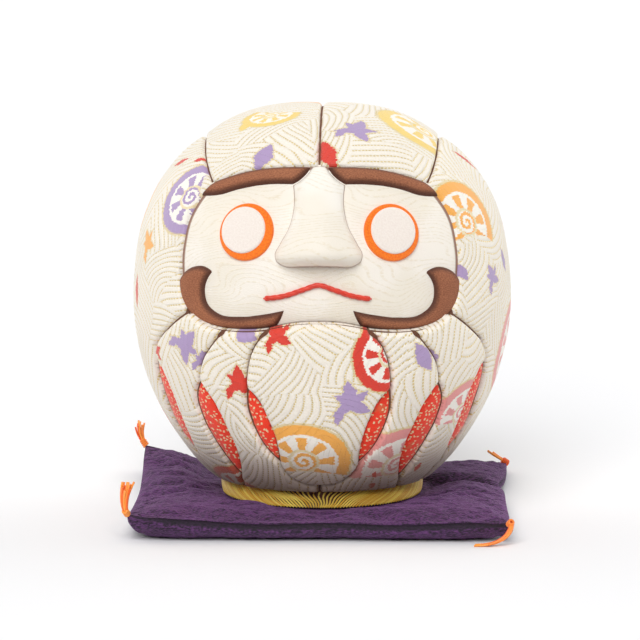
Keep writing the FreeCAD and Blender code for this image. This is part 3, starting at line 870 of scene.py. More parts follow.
def eye_felt(name, dark, light):
    graph = Graph(name)
    fibres = graph.noise(graph.attribute("cloth"), 2.4, 4.0)
    return felt(graph, fibres, dark, light, roughness=0.85, sheen_weight=0.4, sheen_roughness=0.5)


def thread(name, dark, light):
    """Smooth lustrous thread, for the braid, the mouth cord and the tassels. Every strand has a tone
    of its own."""
    graph = Graph(name)
    tone = graph.chance(graph.number("strand"))
    return graph.finish(graph.mix(tone, dark, light), roughness=0.42, sheen_weight=0.2)


FACE_EDGE = (HOOD_EDGE, FACE_SIDE, JAW_OUTER, JAW_MIDDLE, JAW_INNER)


def rim_of_face():
    """The edge of the brocade round the face, both halves, on the body."""
    half = np.concatenate(front(*FACE_EDGE))
    return Body.place(np.concatenate([half, opposite(half)]))


FACE_RIM = rim_of_face()


# ---------------------------------------------------------------- brocade panels

CUT_IN = 0.04  # a panel's edge stands this far inside its seam
JAW_OVERLAP = 0.6  # how far the robe's upper edge reaches over the seam below the face
FOOT_RADIUS = 24.8  # of the body where it meets the foot board


def face_sink(points):
    """How much deeper a brocade edge dives beside the recessed face, to the face's own surface."""
    from_face = gap_to_line(points, FACE_RIM)
    recess = np.linalg.norm(points - FACE_MIDDLE, axis=1) - FACE_ARC
    return np.clip(recess - 1.4, 0, 3) * limited(1 - (from_face - 0.9) / 0.9)


def panel_lift(radius=1.0, depth=1.9, crown=0.55, base=0.0, seed=0.0, pucker=0.14, by_face=False):
    """How a glued panel stands out: rolled edges, a soft crown, small puckers along the seams and
    faint ripples."""

    def lift(gaps, points):
        sink = face_sink(points) if by_face else 0.0
        drop = rolled(gaps, radius + 0.35 * sink, depth + sink)
        puckers = ripples(points, 1.6, seed) * np.exp(-np.maximum(gaps - 0.4, 0) / 1.3) * pucker
        swell = crown * (1 - np.exp(-gaps / 4.5)) + 0.16 * ripples(points, 9.0, seed + 3)
        return base + drop + swell * limited(gaps / 1.5) + puckers

    return lift


def shrink(chart, outline, by):
    """The outline moved inward in its chart, by one distance or by one for each point."""
    flat = chart.flatten(outline)
    by = np.broadcast_to(by, len(flat))
    moved = flat + inward_of(flat) * by[:, None]
    kept = moved[gap_to_line(moved, flat) > 0.9 * np.abs(by)]
    return chart.wrap(kept)


# What is woven where: kind, colour, (degrees round from straight ahead, degrees above the middle),
# size and lean to the left of upright.
MOTIFS_OF = {
    "hood_left": [
        ("leaf", LILAC, (-26, 51), (2.1, 3.9), -6),
        ("leaf", YELLOW, (-55, 63), (1.6, 2.8), 30),
        ("wheel", YELLOW, (-51, 71), 6.5, 200),
        ("leaf", ORANGE, (-170, 82), (0.8, 8), 80),
        ("wheel", RED, (-160, 62), 10, 20),
        ("bird", LILAC, (-172, 40), 5, 150),
        ("bird", ORANGE, (-160, 22), 5, 20),
        ("wheel", LILAC, (-172, -4), 10, 0),
        ("bird", RED, (-160, 8), 4, 60),
        ("wheel", ORANGE, (-166, -40), 10, 15),
    ],
    "hood_right": [
        ("leaf", RED, (3, 53.5), (2.1, 5.0), 22),
        ("bird", LILAC, (22, 63), 4.8, -8),
        ("wheel", YELLOW, (76, 58), 11, 92),
        ("bird", RED, (176, 74), 4.5, 60),
        ("wheel", PINK, (164, 46), 10, 0),
        ("bird", LILAC, (172, 26), 5, 330),
        ("wheel", ORANGE, (163, -2), 10, 0),
        ("bird", RED, (172, -22), 5, 40),
        ("bird", LILAC, (163, -44), 5, 10),
    ],
    "side_left": [
        ("leaf", RED, (-76, 44), (0.8, 2.8), -60),
        ("leaf", RED, (-62, 47), (0.7, 2.2), -70),
        ("wheel", LILAC, (-52, 35), 9.5, 120),
        ("bird", ORANGE, (-70, 18), 3.8, 70),
        ("leaf", RED, (-78, 3), (1.5, 4.0), 10),
        ("wheel", ORANGE, (-100, 26), 10, -20),
        ("bird", LILAC, (-98, -2), 5, 20),
        ("wheel", RED, (-94, -38), 10, 10),
        ("bird", RED, (-122, 44), 5, 200),
        ("wheel", PINK, (-132, 6), 10, 15),
        ("bird", LILAC, (-128, -26), 5, 340),
        ("bird", ORANGE, (-146, 30), 4.5, 20),
        ("wheel", YELLOW, (-150, -44), 9, 0),
    ],
    "side_right": [
        ("leaf", RED, (84, 44), (0.8, 4.4), 40),
        ("wheel", ORANGE, (56, 27), 10.5, 4),
        ("leaf", LILAC, (50, 13), (1.4, 2.6), 30),
        ("bird", LILAC, (65, 9), 3.6, 50),
        ("leaf", LILAC, (77, 13), (1.2, 3.0), 15),
        ("wheel", PINK, (88, -15), 11, 70),
        ("bird", RED, (96, 24), 5, 20),
        ("wheel", LILAC, (118, 34), 10, -15),
        ("bird", ORANGE, (108, -36), 5, 10),
        ("wheel", RED, (124, -8), 10, 10),
        ("bird", LILAC, (142, 16), 5, 200),
        ("bird", RED, (138, -40), 4.5, 30),
    ],
    "robe_outer_left": [
        ("bird", LILAC, (-46, -9), 4.8, -20),
        ("bird", LILAC, (-39.5, -14), 3, 10),
        ("bird", RED, (-61, -13), 2.2, 100),
        ("wheel", RED, (-47, -61), 8, 20),
    ],
    "robe_outer_right": [
        ("wheel", PINK, (57, -32), 8.5, -10),
        ("leaf", LILAC, (61, -8), (1.6, 3.0), 35),
        ("leaf", LILAC, (38, -12), (1.0, 2.6), 30),
        ("leaf", RED, (47.5, -50.5), (0.8, 1.3), 0),
    ],
    "robe_inner_left": [
        ("leaf", LILAC, (-23, -3), (2.2, 3.4), 60),
        ("bird", RED, (-26, -19.5), 4.4, 25),
        ("leaf", RED, (-40, -58), (1.6, 3.4), 60),
    ],
    "robe_inner_right": [
        ("wheel", PINK, (33, -48), 10.5, -6),
        ("leaf", LILAC, (33.5, -11), (2.0, 4.2), 35),
        ("leaf", RED, (24.5, -50.5), (0.9, 1.9), 15),
        ("leaf", RED, (26, -56), (0.8, 1.5), 15),
    ],
    "robe_centre": [
        ("wheel", ORANGE, (-6, -44.5), 10.2, 0),
        ("bird", LILAC, (10, -24.5), 5.2, 38),
        ("bird", RED, (-12.5, -3.5), 4.0, 42),
        ("wheel", RED, (22, -9.5), 9, 128),
    ],
}


def placed(motifs, chart):
    """The motifs with their places and leans turned into the chart's own."""
    for kind, dye, (turn, lift), size, lean in motifs:
        centre, above = chart.flatten(np.array([heading(turn, lift), heading(turn, lift + 1)]))
        upright = math.degrees(math.atan2(*(above - centre)[::-1])) - 90
        sizes = size if isinstance(size, tuple) else (size, size)
        yield kind, dye, tuple(centre), sizes, upright + lean


def brocade_panel(node, chart, outline, material, base=0.0):
    """One glued piece of the brocade, which stands base further out than its neighbours."""
    places = Body.place(outline)
    under_jaw = (gap_to_line(places, FACE_RIM) < 0.1) & (places[:, 2] < BELLY_LEVEL + 1)
    loop = shrink(chart, outline, np.where(under_jaw, -JAW_OVERLAP, CUT_IN))
    lift = panel_lift(base=base, seed=len(node), by_face=True)
    halves = CORE[:1] if node.startswith("robe") else CORE
    quilt(
        node + "_cloth", Body, chart, loop, lift, motifs=placed(MOTIFS_OF[node], chart),
        under=halves, sides=1.0, slot="brocade", replaced=[node], material=material,
    )


HOOD_FRONT = (34.6, 30.9)  # up and ahead from the middle to the middle of the hood's front edge


def hood(material):
    chart = StripChart(BELLY_RADIUS)
    foot_turn = 180.0 + math.degrees(math.atan2(BELLY_LEVEL - FOOT_LEVEL, FOOT_RADIUS))
    front_turn = math.degrees(math.atan2(*HOOD_FRONT))
    half = closed(
        *front(HOOD_EDGE, CORNER_SEAM), on_back(BACK_SEAM),
        on_back([(9.5, -42), (0, -42)]), over_head(foot_turn, front_turn),
    )
    for side, sign in SIDES.items():
        brocade_panel("hood_" + side, chart, side_of(half, sign), material)


def side_panels(material):
    outline = closed(
        *front(CORNER_SEAM[::-1], FACE_SIDE, OUTER_SEAM, OUTER_INLAY_BACK, OUTER_FOOT),
        foot_arc((22.5, -1), (9.5, 1)), on_back(BACK_SEAM[::-1]),
    )
    for side, sign in SIDES.items():
        chart = RoundChart(95.0 * sign, 5.0, BELLY_RADIUS, -12 * sign)
        brocade_panel("side_" + side, chart, side_of(outline, sign), material)


def foot_arc(start, finish):
    """Along the flat foot of the body, between two (across, 1 behind or -1 in front) ends."""
    turns = [math.atan2(out, -end * math.sqrt(FOOT_RADIUS**2 - out**2)) for out, end in (start, finish)]
    sweep = np.linspace(*turns, 60)
    level = np.full(60, FOOT_LEVEL - BELLY_LEVEL)
    return unit(np.column_stack([FOOT_RADIUS * np.sin(sweep), -FOOT_RADIUS * np.cos(sweep), level]))


def robe(material):
    outer = closed(
        *front(JAW_OUTER, MIDDLE_SEAM, MIDDLE_INLAY_BACK, MIDDLE_FOOT), foot_arc((17.5, -1), (22.5, -1)),
        *front(OUTER_FOOT[::-1], OUTER_INLAY_FRONT[::-1], OUTER_SEAM[::-1]),
    )
    inner = closed(
        *front(JAW_MIDDLE, INNER_SEAM, INNER_INLAY_BACK, LAP_SEAM, [(0, -39.6), (0, -42)]),
        foot_arc((0, -1), (17.5, -1)),
        *front(MIDDLE_FOOT[::-1], MIDDLE_INLAY_FRONT[::-1], MIDDLE_SEAM[::-1]),
    )
    right_half = front(LAP_SEAM[::-1], INNER_INLAY_FRONT[::-1], INNER_SEAM[::-1], JAW_INNER)
    centre = closed(*right_half, *[opposite(run) for run in reversed(right_half)])
    for side, sign in SIDES.items():
        outer_chart = RoundChart(50.0 * sign, -20.0, BELLY_RADIUS, 24)
        inner_chart = RoundChart(30.0 * sign, -22.0, BELLY_RADIUS, -8)
        brocade_panel("robe_outer_" + side, outer_chart, side_of(outer, sign), material, 0.15)
        brocade_panel("robe_inner_" + side, inner_chart, side_of(inner, sign), material, 0.3)
    brocade_panel("robe_centre", RoundChart(0.0, -24.0, BELLY_RADIUS), centre, material, 0.6)


def inlays():
    material = red_brocade()
    edges = {
        "inlay_outer": (OUTER_INLAY_FRONT, OUTER_INLAY_BACK, 64),
        "inlay_middle": (MIDDLE_INLAY_FRONT, MIDDLE_INLAY_BACK, 42),
        "inlay_inner": (INNER_INLAY_FRONT, INNER_INLAY_BACK, 20),
    }
    for stem, (ahead, behind, turn) in edges.items():
        outline = closed(*front(ahead, behind[::-1]))
        for side, sign in SIDES.items():
            node = f"{stem}_{side}"
            chart = RoundChart(turn * sign, -32.0, BELLY_RADIUS)
            lift = panel_lift(radius=2.2, depth=1.0, crown=0.7, base=-0.75, seed=turn + sign, pucker=0.08)
            loop = shrink(chart, side_of(outline, sign), -TUCK)
            quilt(
                node + "_cloth", Body, chart, loop, lift, grain=0.8,
                slot="red_brocade", replaced=[node], material=material,
            )


# ---------------------------------------------------------------- the face


def face_loop(*runs):
    """A closed loop on the face from runs of its right-hand half, with their mirror images."""
    half = [on_front(Face, run) for run in runs]
    return closed(*half, *[opposite(run) for run in reversed(half)])


def face_panel(material):
    chart = RoundChart(0.0, 10.0, FACE_ARC)
    outline = face_loop(*FACE_EDGE)
    lift = panel_lift(radius=1.0, depth=0.6, crown=0.15, base=0.0, seed=5, pucker=0.05)
    piece = quilt(
        "face_cloth", Face, chart, shrink(chart, outline, -TUCK), lift,
        slot="face_silk", replaced=["face_panel"], material=material,
    )
    # The seam gap, measured again to the seam line at the face's depth, places the face's painted seam
    # shade.
    recess = np.linalg.norm(FACE_RIM - FACE_MIDDLE, axis=1) - FACE_ARC
    seam = Body.place(unit(FACE_RIM - MIDDLE), -recess)
    points = np.array([tuple(vertex.co) for vertex in piece.data.vertices]) * METRE
    gaps = gap_to_line(points, seam).astype(np.float32)
    piece.data.attributes["seam_gap"].data.foreach_set("value", gaps)


def nose(material):
    chart = RoundChart(0.0, 20.0, FACE_ARC)
    outline = face_loop(NOSE_TOP[::-1], NOSE_BROW[::-1], NOSE_SIDE, NOSE_BOTTOM)
    tip_level, root_level = 15.0, 34.6

    def lift(gaps, points):
        level = points[:, 2] - BELLY_LEVEL
        rise = limited((root_level - level) / (root_level - tip_level))
        across = np.abs(points[:, 0]) / (4.2 + 5.8 * rise**1.5)
        bridge = 5.4 * rise**1.05 * (1 - limited(across) ** 2.2)
        under = rounded(1 - (tip_level + 1.0 - level) / 3.4)
        notch = 0.7 * hill(points[:, 0], -0.5, 0.35) * limited((tip_level - 0.3 - level) / 1.2)
        return -0.1 + (bridge + 0.8) * under * limited(gaps) ** 0.5 - notch

    quilt(
        "nose_cloth", Face, chart, outline, lift, grain=0.6, under=["face_cloth"], sides=1.5,
        slot="face_silk", replaced=["nose"], material=material,
    )


def crepe_strips():
    brown, light_brown = linear(134, 78, 52), linear(176, 112, 76)
    # The sheen's tint, and the colour of the painted shade at the strips' edges.
    tint, shade = linear(190, 140, 120), linear(62, 28, 18)
    material = crepe("brown_crepe", brown, light_brown, 0.22, 0.1, tint, 1.7, shade)
    brow = closed(*[on_front(Face, run) for run in (BROW_TOP, BROW_BOTTOM, NOSE_BROW)])
    edges = (MOUSTACHE_TOP, MOUSTACHE_HOOK, MOUSTACHE_SIDE, MOUSTACHE_END)
    moustache = closed(*[on_front(Face, run) for run in edges])
    for stem, outline, lift_angle in (("eyebrow", brow, 32.0), ("moustache", moustache, -5.0)):
        for side, sign in SIDES.items():
            chart = RoundChart(22.0 * sign, lift_angle, FACE_ARC)
            lift = panel_lift(radius=1.5, crown=0.5, base=1.0, seed=len(stem) + sign, pucker=0.06)
            quilt(
                f"{stem}_{side}_cloth", Face, chart, side_of(outline, sign), lift, grain=0.7, sides=1.2,
                slot="brown_crepe", replaced=[f"{stem}_{side}"], material=material,
            )


# Degrees round and above the face's middle, of a ring and from there to its disc.
EYE_TURN, EYE_LIFT = 23.0, 18.6
DISC_SHIFT = {"left": (-0.75, 0.4), "right": (0.3, 0.4)}
# The radius of the felt, how far its underside stands out from the face, and its thickness.
RING = (6.7, 0.1, 0.7)
DISC = (5.4, 0.7, 0.5)


def felt_disc(node, under, turn, lift_angle, radius, base, thickness, slot, material):
    """A round of felt on the face, with a cut edge."""
    chart = RoundChart(turn, lift_angle, FACE_ARC)
    around = np.linspace(0, 2 * math.pi, 120, endpoint=False)
    loop = chart.wrap(radius * np.column_stack([np.cos(around), np.sin(around)]))

    def lift(gaps, points):
        return base + thickness + rolled(gaps, 0.45, thickness + 0.3)

    quilt(
        node + "_felt", Face, chart, loop, lift, grain=0.6, under=[under], sides=0.4,
        slot=slot, replaced=[node], material=material,
    )


def eyes():
    orange = eye_felt("orange_felt", linear(242, 104, 4), linear(252, 132, 12))
    white = eye_felt("white_felt", linear(240, 228, 218), linear(246, 236, 227))
    for side, sign in SIDES.items():
        ring, disc = "eye_ring_" + side, "eye_disc_" + side
        turn, lift_angle = sign * EYE_TURN, EYE_LIFT
        felt_disc(ring, "face_cloth", turn, lift_angle, *RING, "orange_felt", orange)
        turn += DISC_SHIFT[side][0]
        lift_angle += DISC_SHIFT[side][1]
        felt_disc(disc, ring + "_felt", turn, lift_angle, *DISC, "white_felt", white)


def tube(path, radius, sides=8):
    """Points and faces of a round tube along a line of points, with closed ends."""
    ahead = unit(np.gradient(path, axis=0))
    aside = unit(np.cross(ahead, [0.13, 0.21, 0.97]))
    above = np.cross(ahead, aside)
    turns = np.linspace(0, 2 * math.pi, sides, endpoint=False)[:, None]
    rings = np.cos(turns) * aside[:, None] + np.sin(turns) * above[:, None]
    points = path[:, None] + np.reshape(radius, (-1, 1, 1)) * rings
    last = (len(path) - 1) * sides
    faces = [tuple(range(sides))[::-1], tuple(range(last, last + sides))]
    for low in range(0, last, sides):
        for side in range(sides):
            after = (side + 1) % sides
            faces.append((low + side, low + after, low + sides + after, low + sides + side))
    return points.reshape(-1, 3), faces


def joined(name, body, strands, **looks):
    """One piece made of several strands, each given as (points, faces)."""
    points, faces, numbers, count = [], [], [], 0
    for number, (some, patches) in enumerate(strands):
        points.append(some)
        faces += [tuple(index + count for index in patch) for patch in patches]
        numbers += [number] * len(some)
        count += len(some)
    piece = make_piece(name, np.concatenate(points), faces, body, **looks)
    paint(piece, "strand", numbers)


PLY_RADIUS = 0.54
TWIST = 3.4  # along the mouth's cord, for one turn of its plies


def mouth():
    """Two plies twisted round each other, laid along the mouth."""
    line = Face.place(on_front(Face, MOUTH), 0.4)
    fine = np.linspace(0, len(line) - 1, 260)
    line = np.column_stack([np.interp(fine, np.arange(len(line)), line[:, n]) for n in range(3)])
    run = np.concatenate([[0], np.cumsum(np.linalg.norm(np.diff(line, axis=0), axis=1))])
    out = unit(line - FACE_MIDDLE)
    aside = np.cross(unit(np.gradient(line, axis=0)), out)
    taper = np.clip(np.minimum(run, run[-1] - run) / 0.6, 0.3, 1)
    plies = []
    for start in (0, math.pi):
        turn = start + run[:, None] / TWIST * 2 * math.pi
        offset = 0.09 * (np.cos(turn) * out + np.sin(turn) * aside)
        plies.append(tube(line + offset, PLY_RADIUS * taper))
    material = thread("red_cord", linear(210, 48, 27), linear(230, 66, 42))
    joined("mouth_cord_plies", "doll", plies, slot="red_cord", replaced=["mouth_cord"], material=material)


# ---------------------------------------------------------------- the foot's braid


THREADS_ROUND_FOOT = 168
THREAD_SLANT = 6.5  # how far a thread runs round the foot from its lower to its upper end
BRAID_THREAD_RADIUS = 0.235
TASSEL_THREAD_RADIUS = 0.25


def gold_braid():
    """A band of slanting threads round the foot board, which lean away from the front on both sides."""
    low, high = corners("base_gold_braid")
    part = np.linspace(0, 1, 12)
    level = low.z + (high.z - low.z) * part
    out = high.x - 0.28 + 0.3 * np.sin(part * math.pi)
    threads = []
    for turn in np.linspace(-math.pi, math.pi, THREADS_ROUND_FOOT, endpoint=False):
        slant = THREAD_SLANT * math.tanh(4 * math.sin(turn)) / high.x
        angle = turn + slant * (part - 0.5) + 0.015 * np.sin(part * 2 * math.pi + 5 * turn)
        path = np.column_stack([out * np.sin(angle), -out * np.cos(angle), level])
        threads.append(tube(path, BRAID_THREAD_RADIUS, sides=6))
    material = thread("gold_braid", linear(224, 162, 26), linear(255, 230, 104))
    joined(
        "gold_braid_threads", "doll", threads,
        slot="gold_braid", replaced=["base_gold_braid"], material=material,
    )


# ---------------------------------------------------------------- the cushion


# How high the seam is at each corner (side, back or front) and half way along the front, back,
# left and right.
CORNER_LEVELS = {(-1, 1): 6.4, (1, 1): 2.3, (-1, -1): 6.8, (1, -1): 4.7}
EDGE_LEVELS = (4.1, 1.8, 2.8, 2.9)
CUSHION_GRID = 200
PULLED_IN = 0.03  # how far the middle of each side is pulled in, for each half side
DENT_RADIUS = 24.6  # of the level part under the doll


def seam_levels(u, v):
    """The height of the cushion's seam, spread over the whole square from its edge."""
    front_edge, back_edge, left_edge, right_edge = EDGE_LEVELS
    level = (front_edge * (1 - v) + back_edge * (1 + v)) / 2 * (1 - u**2)
    level += (left_edge * (1 - u) + right_edge * (1 + u)) / 2 * (1 - v**2)
    level /= np.maximum(2 - u**2 - v**2, 0.3)
    for (side, end), corner in CORNER_LEVELS.items():
        near = np.exp(-((np.hypot(u - side, v - end) / 0.3) ** 1.5))
        level = level * (1 - near) + corner * near
    return level + 0.35 * np.sin(u * 9 + 1) * np.cos(v * 7)


def cushion_relief(x, y, edge):
    """Folds and hollows of the upper cloth, away from its seam."""
    points = np.column_stack([x.ravel(), y.ravel(), np.zeros(x.size)])
    slow = ripples(points, 13.0, 4).reshape(x.shape)
    creases = ripples(points * (0.5, 1.0, 1.0), 3.4, 8).reshape(x.shape)
    relief = 0.7 * slow + 0.5 * creases
    relief -= 2.2 * hill(y, 8 + 1.4 * np.sin(x / 4), 2.4) * limited((x - 22) / 4)
    relief -= 1.2 * hill(y, -6 - 0.2 * x - np.sin(x / 3), 3.0) * limited((-x - 24) / 5)
    return relief * limited(edge / 4) * np.clip((np.hypot(x, y) - 24.5) / 5, 0.1, 1)


SIM_GRID = 90
SIM_SCALE = 20.0  # the solver works best on cloth a metre or more across
SIM_FRAMES = 24
MOST_MOVED = 1.2  # how far the simulated folds may lift or lower the cloth
CLOTH_SETTINGS = {
    "vertex_group_mass": "held",
    "pin_stiffness": 8.0,
    "shrink_min": -0.03,
    "quality": 6,
    "mass": 0.3,
    "bending_stiffness": 0.4,
    "use_pressure": True,
    "uniform_pressure_force": 0.6,
}


def grid_faces(count):
    """The squares of a grid with that many points a side."""
    cells = [row * count + column for row in range(count - 1) for column in range(count - 1)]
    return [(n, n + 1, n + count + 1, n + count) for n in cells]


def settled(points, held):
    """How far each point of an upper cloth, cut 3% too large for its filling, lifts when the filling
    pushes it up and its seams and the doll's foot hold it. A cloth simulation."""
    mesh = bpy.data.meshes.new("upper_cloth")
    mesh.from_pydata((points * SIM_SCALE / METRE).tolist(), [], grid_faces(SIM_GRID))
    piece = new_object("upper_cloth", mesh)
    group = piece.vertex_groups.new(name="held")
    for index, weight in enumerate(held):
        group.add([index], float(weight), "REPLACE")
    cloth = piece.modifiers.new("cloth", "CLOTH")
    for name, value in CLOTH_SETTINGS.items():
        setattr(cloth.settings, name, value)
    cloth.settings.effector_weights.gravity = 0
    cloth.collision_settings.use_collision = False
    cloth.point_cache.frame_end = SIM_FRAMES
    scene = bpy.context.scene
    for frame_number in range(1, SIM_FRAMES + 1):
        scene.frame_set(frame_number)
    posed = piece.evaluated_get(bpy.context.evaluated_depsgraph_get()).to_mesh()
    moved = np.zeros(len(posed.vertices) * 3)
    posed.vertices.foreach_get("co", moved)
    lift = moved.reshape(-1, 3)[:, 2] * METRE / SIM_SCALE - points[:, 2]
    bpy.data.objects.remove(piece)
    bpy.data.meshes.remove(mesh)
    scene.frame_set(1)
    return np.clip(lift, -MOST_MOVED, MOST_MOVED)


def folds_of_slack(ticks, x, y, upper, edge):
    """The simulated lift of the upper cloth at every point of the cushion's grid."""
    picked = np.linspace(0, CUSHION_GRID - 1, SIM_GRID).round().astype(int)
    coarse = np.ix_(picked, picked)
    points = np.column_stack([grid[coarse].ravel() for grid in (x, y, upper)])
    held = np.maximum(limited(1.4 - edge[coarse].ravel() / 2), limited(26 - np.hypot(*points[:, :2].T)))
    lift = settled(points, np.maximum(held, 0.02)).reshape(SIM_GRID, SIM_GRID)
    rows = np.array([np.interp(ticks, ticks[picked], row) for row in lift])
    return np.array([np.interp(ticks, ticks[picked], column) for column in rows.T]).T


def cushion_plan(half, u, v, edge):
    """The cushion seen from above: where each point of its square is once the filling has pulled the
    sides in and pushed the cloth out beside the seam."""
    at_corner = np.minimum(np.abs(u), np.abs(v)) ** 8
    bulge = 2.3 * (1 - np.exp(-edge / 0.5)) * np.exp(-edge / 3.0) * (1 - 0.8 * at_corner)
    x = half * u * (1 - PULLED_IN * (1 - v**2)) + bulge * np.sign(u) * np.abs(u) ** 12
    y = half * v * (1 - PULLED_IN * (1 - u**2)) + bulge * np.sign(v) * np.abs(v) ** 12
    x -= 1.6 * limited(u) ** 8 * hill(y, 10, 7.0)
    return x, y


def cushion_skins(half, top):
    """The points of the upper and the lower cloth, and how far each is from the seam."""
    ticks = np.linspace(-1, 1, CUSHION_GRID)
    ticks = ticks * (1.4 - 0.4 * ticks**2)
    u, v = np.meshgrid(ticks, ticks)
    to_side, to_end = 1 - np.abs(u), 1 - np.abs(v)
    edge = half * np.minimum(to_side, to_end)
    x, y = cushion_plan(half, u, v, edge)
    sag = 3.0 * hill(x, -26, 6.5) * limited(y / 20)
    seam = np.maximum(seam_levels(u, v) - 0.5 * sag, 0.8)
    dent = limited((np.hypot(x, y) - DENT_RADIUS) / 9.0)
    crown = 3.7 + (top - 4.5 - 1.2 * (1 + v) / 2) * dent * dent * (3 - 2 * dent)
    crown += 2.0 * hill(x, -37, 4.5) * hill(y, 37, 9) - sag
    swell = rounded(half * np.minimum(to_side, 1 + v) / 7.0)
    swell *= 1 - (1 - limited(half * (1 - v) / 30.0)) ** 1.8
    upper = seam + (crown - seam) * swell + cushion_relief(x, y, edge)
    upper += 0.75 * folds_of_slack(ticks, x, y, upper, edge)
    lower = seam * (1 - rounded(edge / 6.0))
    lower += 0.45 * np.clip(seam - 3.0, 0, 4) * limited(1 - half * np.hypot(to_side, to_end) / 11)
    lower = np.minimum(lower, seam)
    skins = [np.column_stack([x.ravel(), y.ravel(), level.ravel()]) for level in (upper, lower)]
    for skin, way in zip(skins, (1, -1)):
        lumps = 0.24 * ripples(skin * (0.6, 1.0, 1.0), 1.1, 2) * limited(edge.ravel() / 1.5)
        skin[:, 2] += lumps * way
        skin[:, 1] -= lumps * limited(1 - edge.ravel() / 4) * (v.ravel() < 0)
    return skins, edge.ravel()


def cushion():
    """A thin square pillow: two crowned cloths that pull in to a seam, dented where the doll stands."""
    high = corners("cushion_cover")[1]
    skins, edge = cushion_skins(high.x, high.z - 0.8)
    points = np.concatenate(skins)
    points[:, 2] = np.maximum(points[:, 2], 0.0)
    faces = grid_faces(CUSHION_GRID)
    faces += [tuple(index + len(skins[0]) for index in face[::-1]) for face in faces]
    purple, light_purple = linear(20, 4, 24), linear(92, 48, 102)
    # The sheen's tint, and the colour of the painted shade along the seam.
    tint, shade = linear(186, 130, 200), linear(16, 6, 18)
    material = crepe("purple_crepe", purple, light_purple, 0.38, 0.4, tint, 0.35, shade)
    piece = make_piece(
        "cushion_cloth", points, faces, "cushion",
        slot="purple_crepe", replaced=["cushion_cover", "cushion_filling"], material=material,
    )
    paint(piece, "cloth", points)
    # The distance from the seam places the painted shade along it.
    paint(piece, "seam_gap", np.tile(edge, 2))
    piece.modifiers.new("closed_seam", "WELD").merge_threshold = 0.00001


TASSELS = {  # for each corner: the tuft's run from the seam's tip, its spread there and its strands
    "front_left": ([(-0.4, -0.9, 0.8), (-1.0, -0.7, 3.5), (0.5, -0.5, 7.4)], 1.0, 19),
    "back_left": ([(-0.6, 0.2, 0.9), (-1.8, 0.6, 2.4), (-1.3, 1.0, 5.6)], 1.1, 7),
    "front_right": ([(0.6, -1.4, 0.9), (0.9, -2.8, -4.6), (-8.2, -3.0, -4.4)], 0.4, 9),
    "back_right": ([(-0.8, -0.3, 0.6), (-2.2, -0.6, 1.3), (-4.6, -1.0, 3.2)], 0.4, 4),
}


def bent(points, part):
    """A cubic curve through the space of four points."""
    weights = ((1 - part) ** 3, 3 * part * (1 - part) ** 2, 3 * part**2 * (1 - part), part**3)
    return sum(weight * np.array(point) for weight, point in zip(weights, points))


def tassels():
    """Tufts of orange thread, knotted at the cushion's corners."""
    material = thread("tassel_thread", linear(240, 92, 12), linear(255, 164, 64))
    half = corners("cushion_cover")[1].x
    for place, (run, spread, count) in TASSELS.items():
        side, end = (1 if "right" in place else -1), (1 if "back" in place else -1)
        tip = np.array([side * half, end * half, CORNER_LEVELS[side, end]])
        strands = []
        for n in range(count):
            aside = math.sqrt((n + 0.5) / count) * np.array([math.cos(2.4 * n), math.sin(2.4 * n), 0.0])
            part = np.linspace(0, 0.82 + 0.18 * math.sin(n * 2.3) ** 2, 14)[:, None]
            path = tip + bent([(0, 0, 0), *run], part) + aside * (0.5 + spread * part**2)
            path[:, 2] = np.maximum(path[:, 2], TASSEL_THREAD_RADIUS)
            strands.append(tube(path, TASSEL_THREAD_RADIUS, sides=6))
        turns = np.linspace(0, 7 * math.pi, 90)[:, None]
        axis = unit(np.array(run[0]))
        across = unit(np.cross(axis, [0.3, 0.9, 0.2]))
        knot = tip + axis * np.linspace(-0.4, 1.3, 90)[:, None]
        knot = knot + 0.6 * (np.cos(turns) * across + np.sin(turns) * np.cross(axis, across))
        strands.append(tube(knot, TASSEL_THREAD_RADIUS))
        joined(
            f"tassel_{place}_threads", "cushion", strands,
            slot="tassel_thread", replaced=["tassel_" + place], material=material,
        )


def paste():
    """The core's pressed wood paste, which shows only in the depth of a groove; its brown is darkened to
    paint the shade there.
    """
    graph = Graph("core_paste")
    place = graph.place()
    graph.bump(graph.noise(place, 1500.0, 3.0), 0.4, 0.1)
    colour = graph.mix(graph.noise(place, 800.0, 3.0), linear(88, 54, 40), linear(124, 82, 60))
    return graph.finish(colour, roughness=0.9)


def board_felt():
    graph = Graph("foot_felt")
    fibres = graph.noise(graph.place(), 2200.0, 4.0)
    return felt(graph, fibres, linear(60, 40, 66), linear(92, 66, 98), roughness=0.9)


def finish_cad_nodes():
    """Materials of the CAD nodes that stay as they are."""
    materials = dict.fromkeys([*CORE, "base_disc"], paste())
    materials["base_felt"] = board_felt()
    for node, material in materials.items():
        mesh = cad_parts[node].data
        mesh.materials.clear()
        mesh.materials.append(material)


# ---------------------------------------------------------------- the stage


TABLE_FRONT = -0.155  # the white table ends just below the picture; the room before it is dim


def stage():
    size = 2.4
    rim = [(-size, TABLE_FRONT, 0), (size, TABLE_FRONT, 0), (size, size, 0), (-size, size, 0)]
    mesh = bpy.data.meshes.new("floor")
    mesh.from_pydata(rim, [], [(0, 1, 2, 3)])
    mesh.materials.append(Graph("floor").finish((0.87, 0.87, 0.88, 1), roughness=0.9))
    new_object("floor", mesh)


def soft_sun(name, turn, lift, strength, spread):
    """Even light from one direction, softened as by a large screen."""
    lamp = bpy.data.lights.new(name, "SUN")
    lamp.angle = math.radians(spread)
    lamp.energy = strength * math.pi
    holder = new_object(name, lamp)
    holder.rotation_euler = Vector(heading(turn, lift)).to_track_quat("Z", "Y").to_euler()


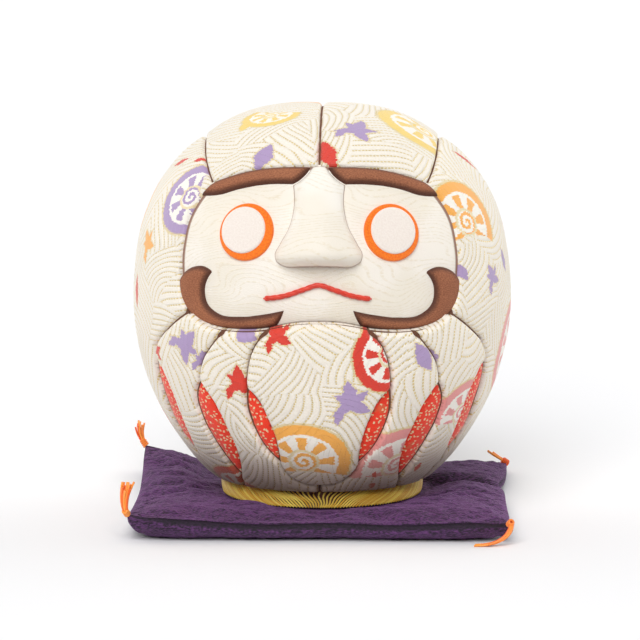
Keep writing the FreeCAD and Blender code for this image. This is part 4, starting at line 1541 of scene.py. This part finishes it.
SCREEN_FADE = (-0.5, 0.7, 0.11, 0.85)  # from front to back: where it starts and ends, and how bright
SUNS = {  # degrees round from straight ahead, degrees up, strength and degrees across
    "key": (-9, 40, 0.85, 44),
    "top": (20, 82, 0.05, 50),
    "right_screen": (115, 15, 0.3, 60),
    "left_screen": (-115, 15, 0.2, 60),
}


def lights():
    """White screens behind and beside the doll, a dim room in front, and the lamps."""
    world = bpy.data.worlds.new("studio")
    world.use_nodes = True
    tree = world.node_tree
    place = tree.nodes.new("ShaderNodeTexCoord")
    parts = tree.nodes.new("ShaderNodeSeparateXYZ")
    fade = tree.nodes.new("ShaderNodeMapRange")
    fade.interpolation_type = "SMOOTHSTEP"
    for number, value in enumerate(SCREEN_FADE, 1):
        fade.inputs[number].default_value = value
    tree.links.new(place.outputs["Generated"], parts.inputs[0])
    tree.links.new(parts.outputs[1], fade.inputs[0])
    tree.links.new(fade.outputs[0], tree.nodes["Background"].inputs["Strength"])
    tree.nodes["Background"].inputs["Color"].default_value = (1.0, 1.0, 1.0, 1)
    bpy.context.scene.world = world
    for name, sun in SUNS.items():
        soft_sun(name, *sun)


def camera():
    """A long lens, a little above the doll, aimed just below its middle."""
    target, distance = Vector((-0.0005, 0.0, 0.0442)), 1.45
    out = Vector(heading(1.2, 9.5))
    lens = bpy.data.cameras.new("camera")
    lens.lens = 350.0
    lens.sensor_width = 36.0
    lens.clip_start = 0.05
    holder = new_object("camera", lens)
    holder.location = target + out * distance
    holder.rotation_euler = (-out).to_track_quat("-Z", "Y").to_euler()
    bpy.context.scene.camera = holder


bpy.context.scene.view_settings.view_transform = "Standard"
camera()
lights()
stage()
ivory = brocade()
hood(ivory)
side_panels(ivory)
robe(ivory)
inlays()
# The last number says how far in each silk's painted seam shade reaches: the face's further than the nose's.
face_panel(face_silk("face_silk", linear(248, 241, 230), linear(243, 235, 220), 0.3))
nose(face_silk("nose_silk", linear(247, 242, 232), linear(243, 235, 221), -0.05))
crepe_strips()
eyes()
mouth()
gold_braid()
cushion()
tassels()
finish_cad_nodes()
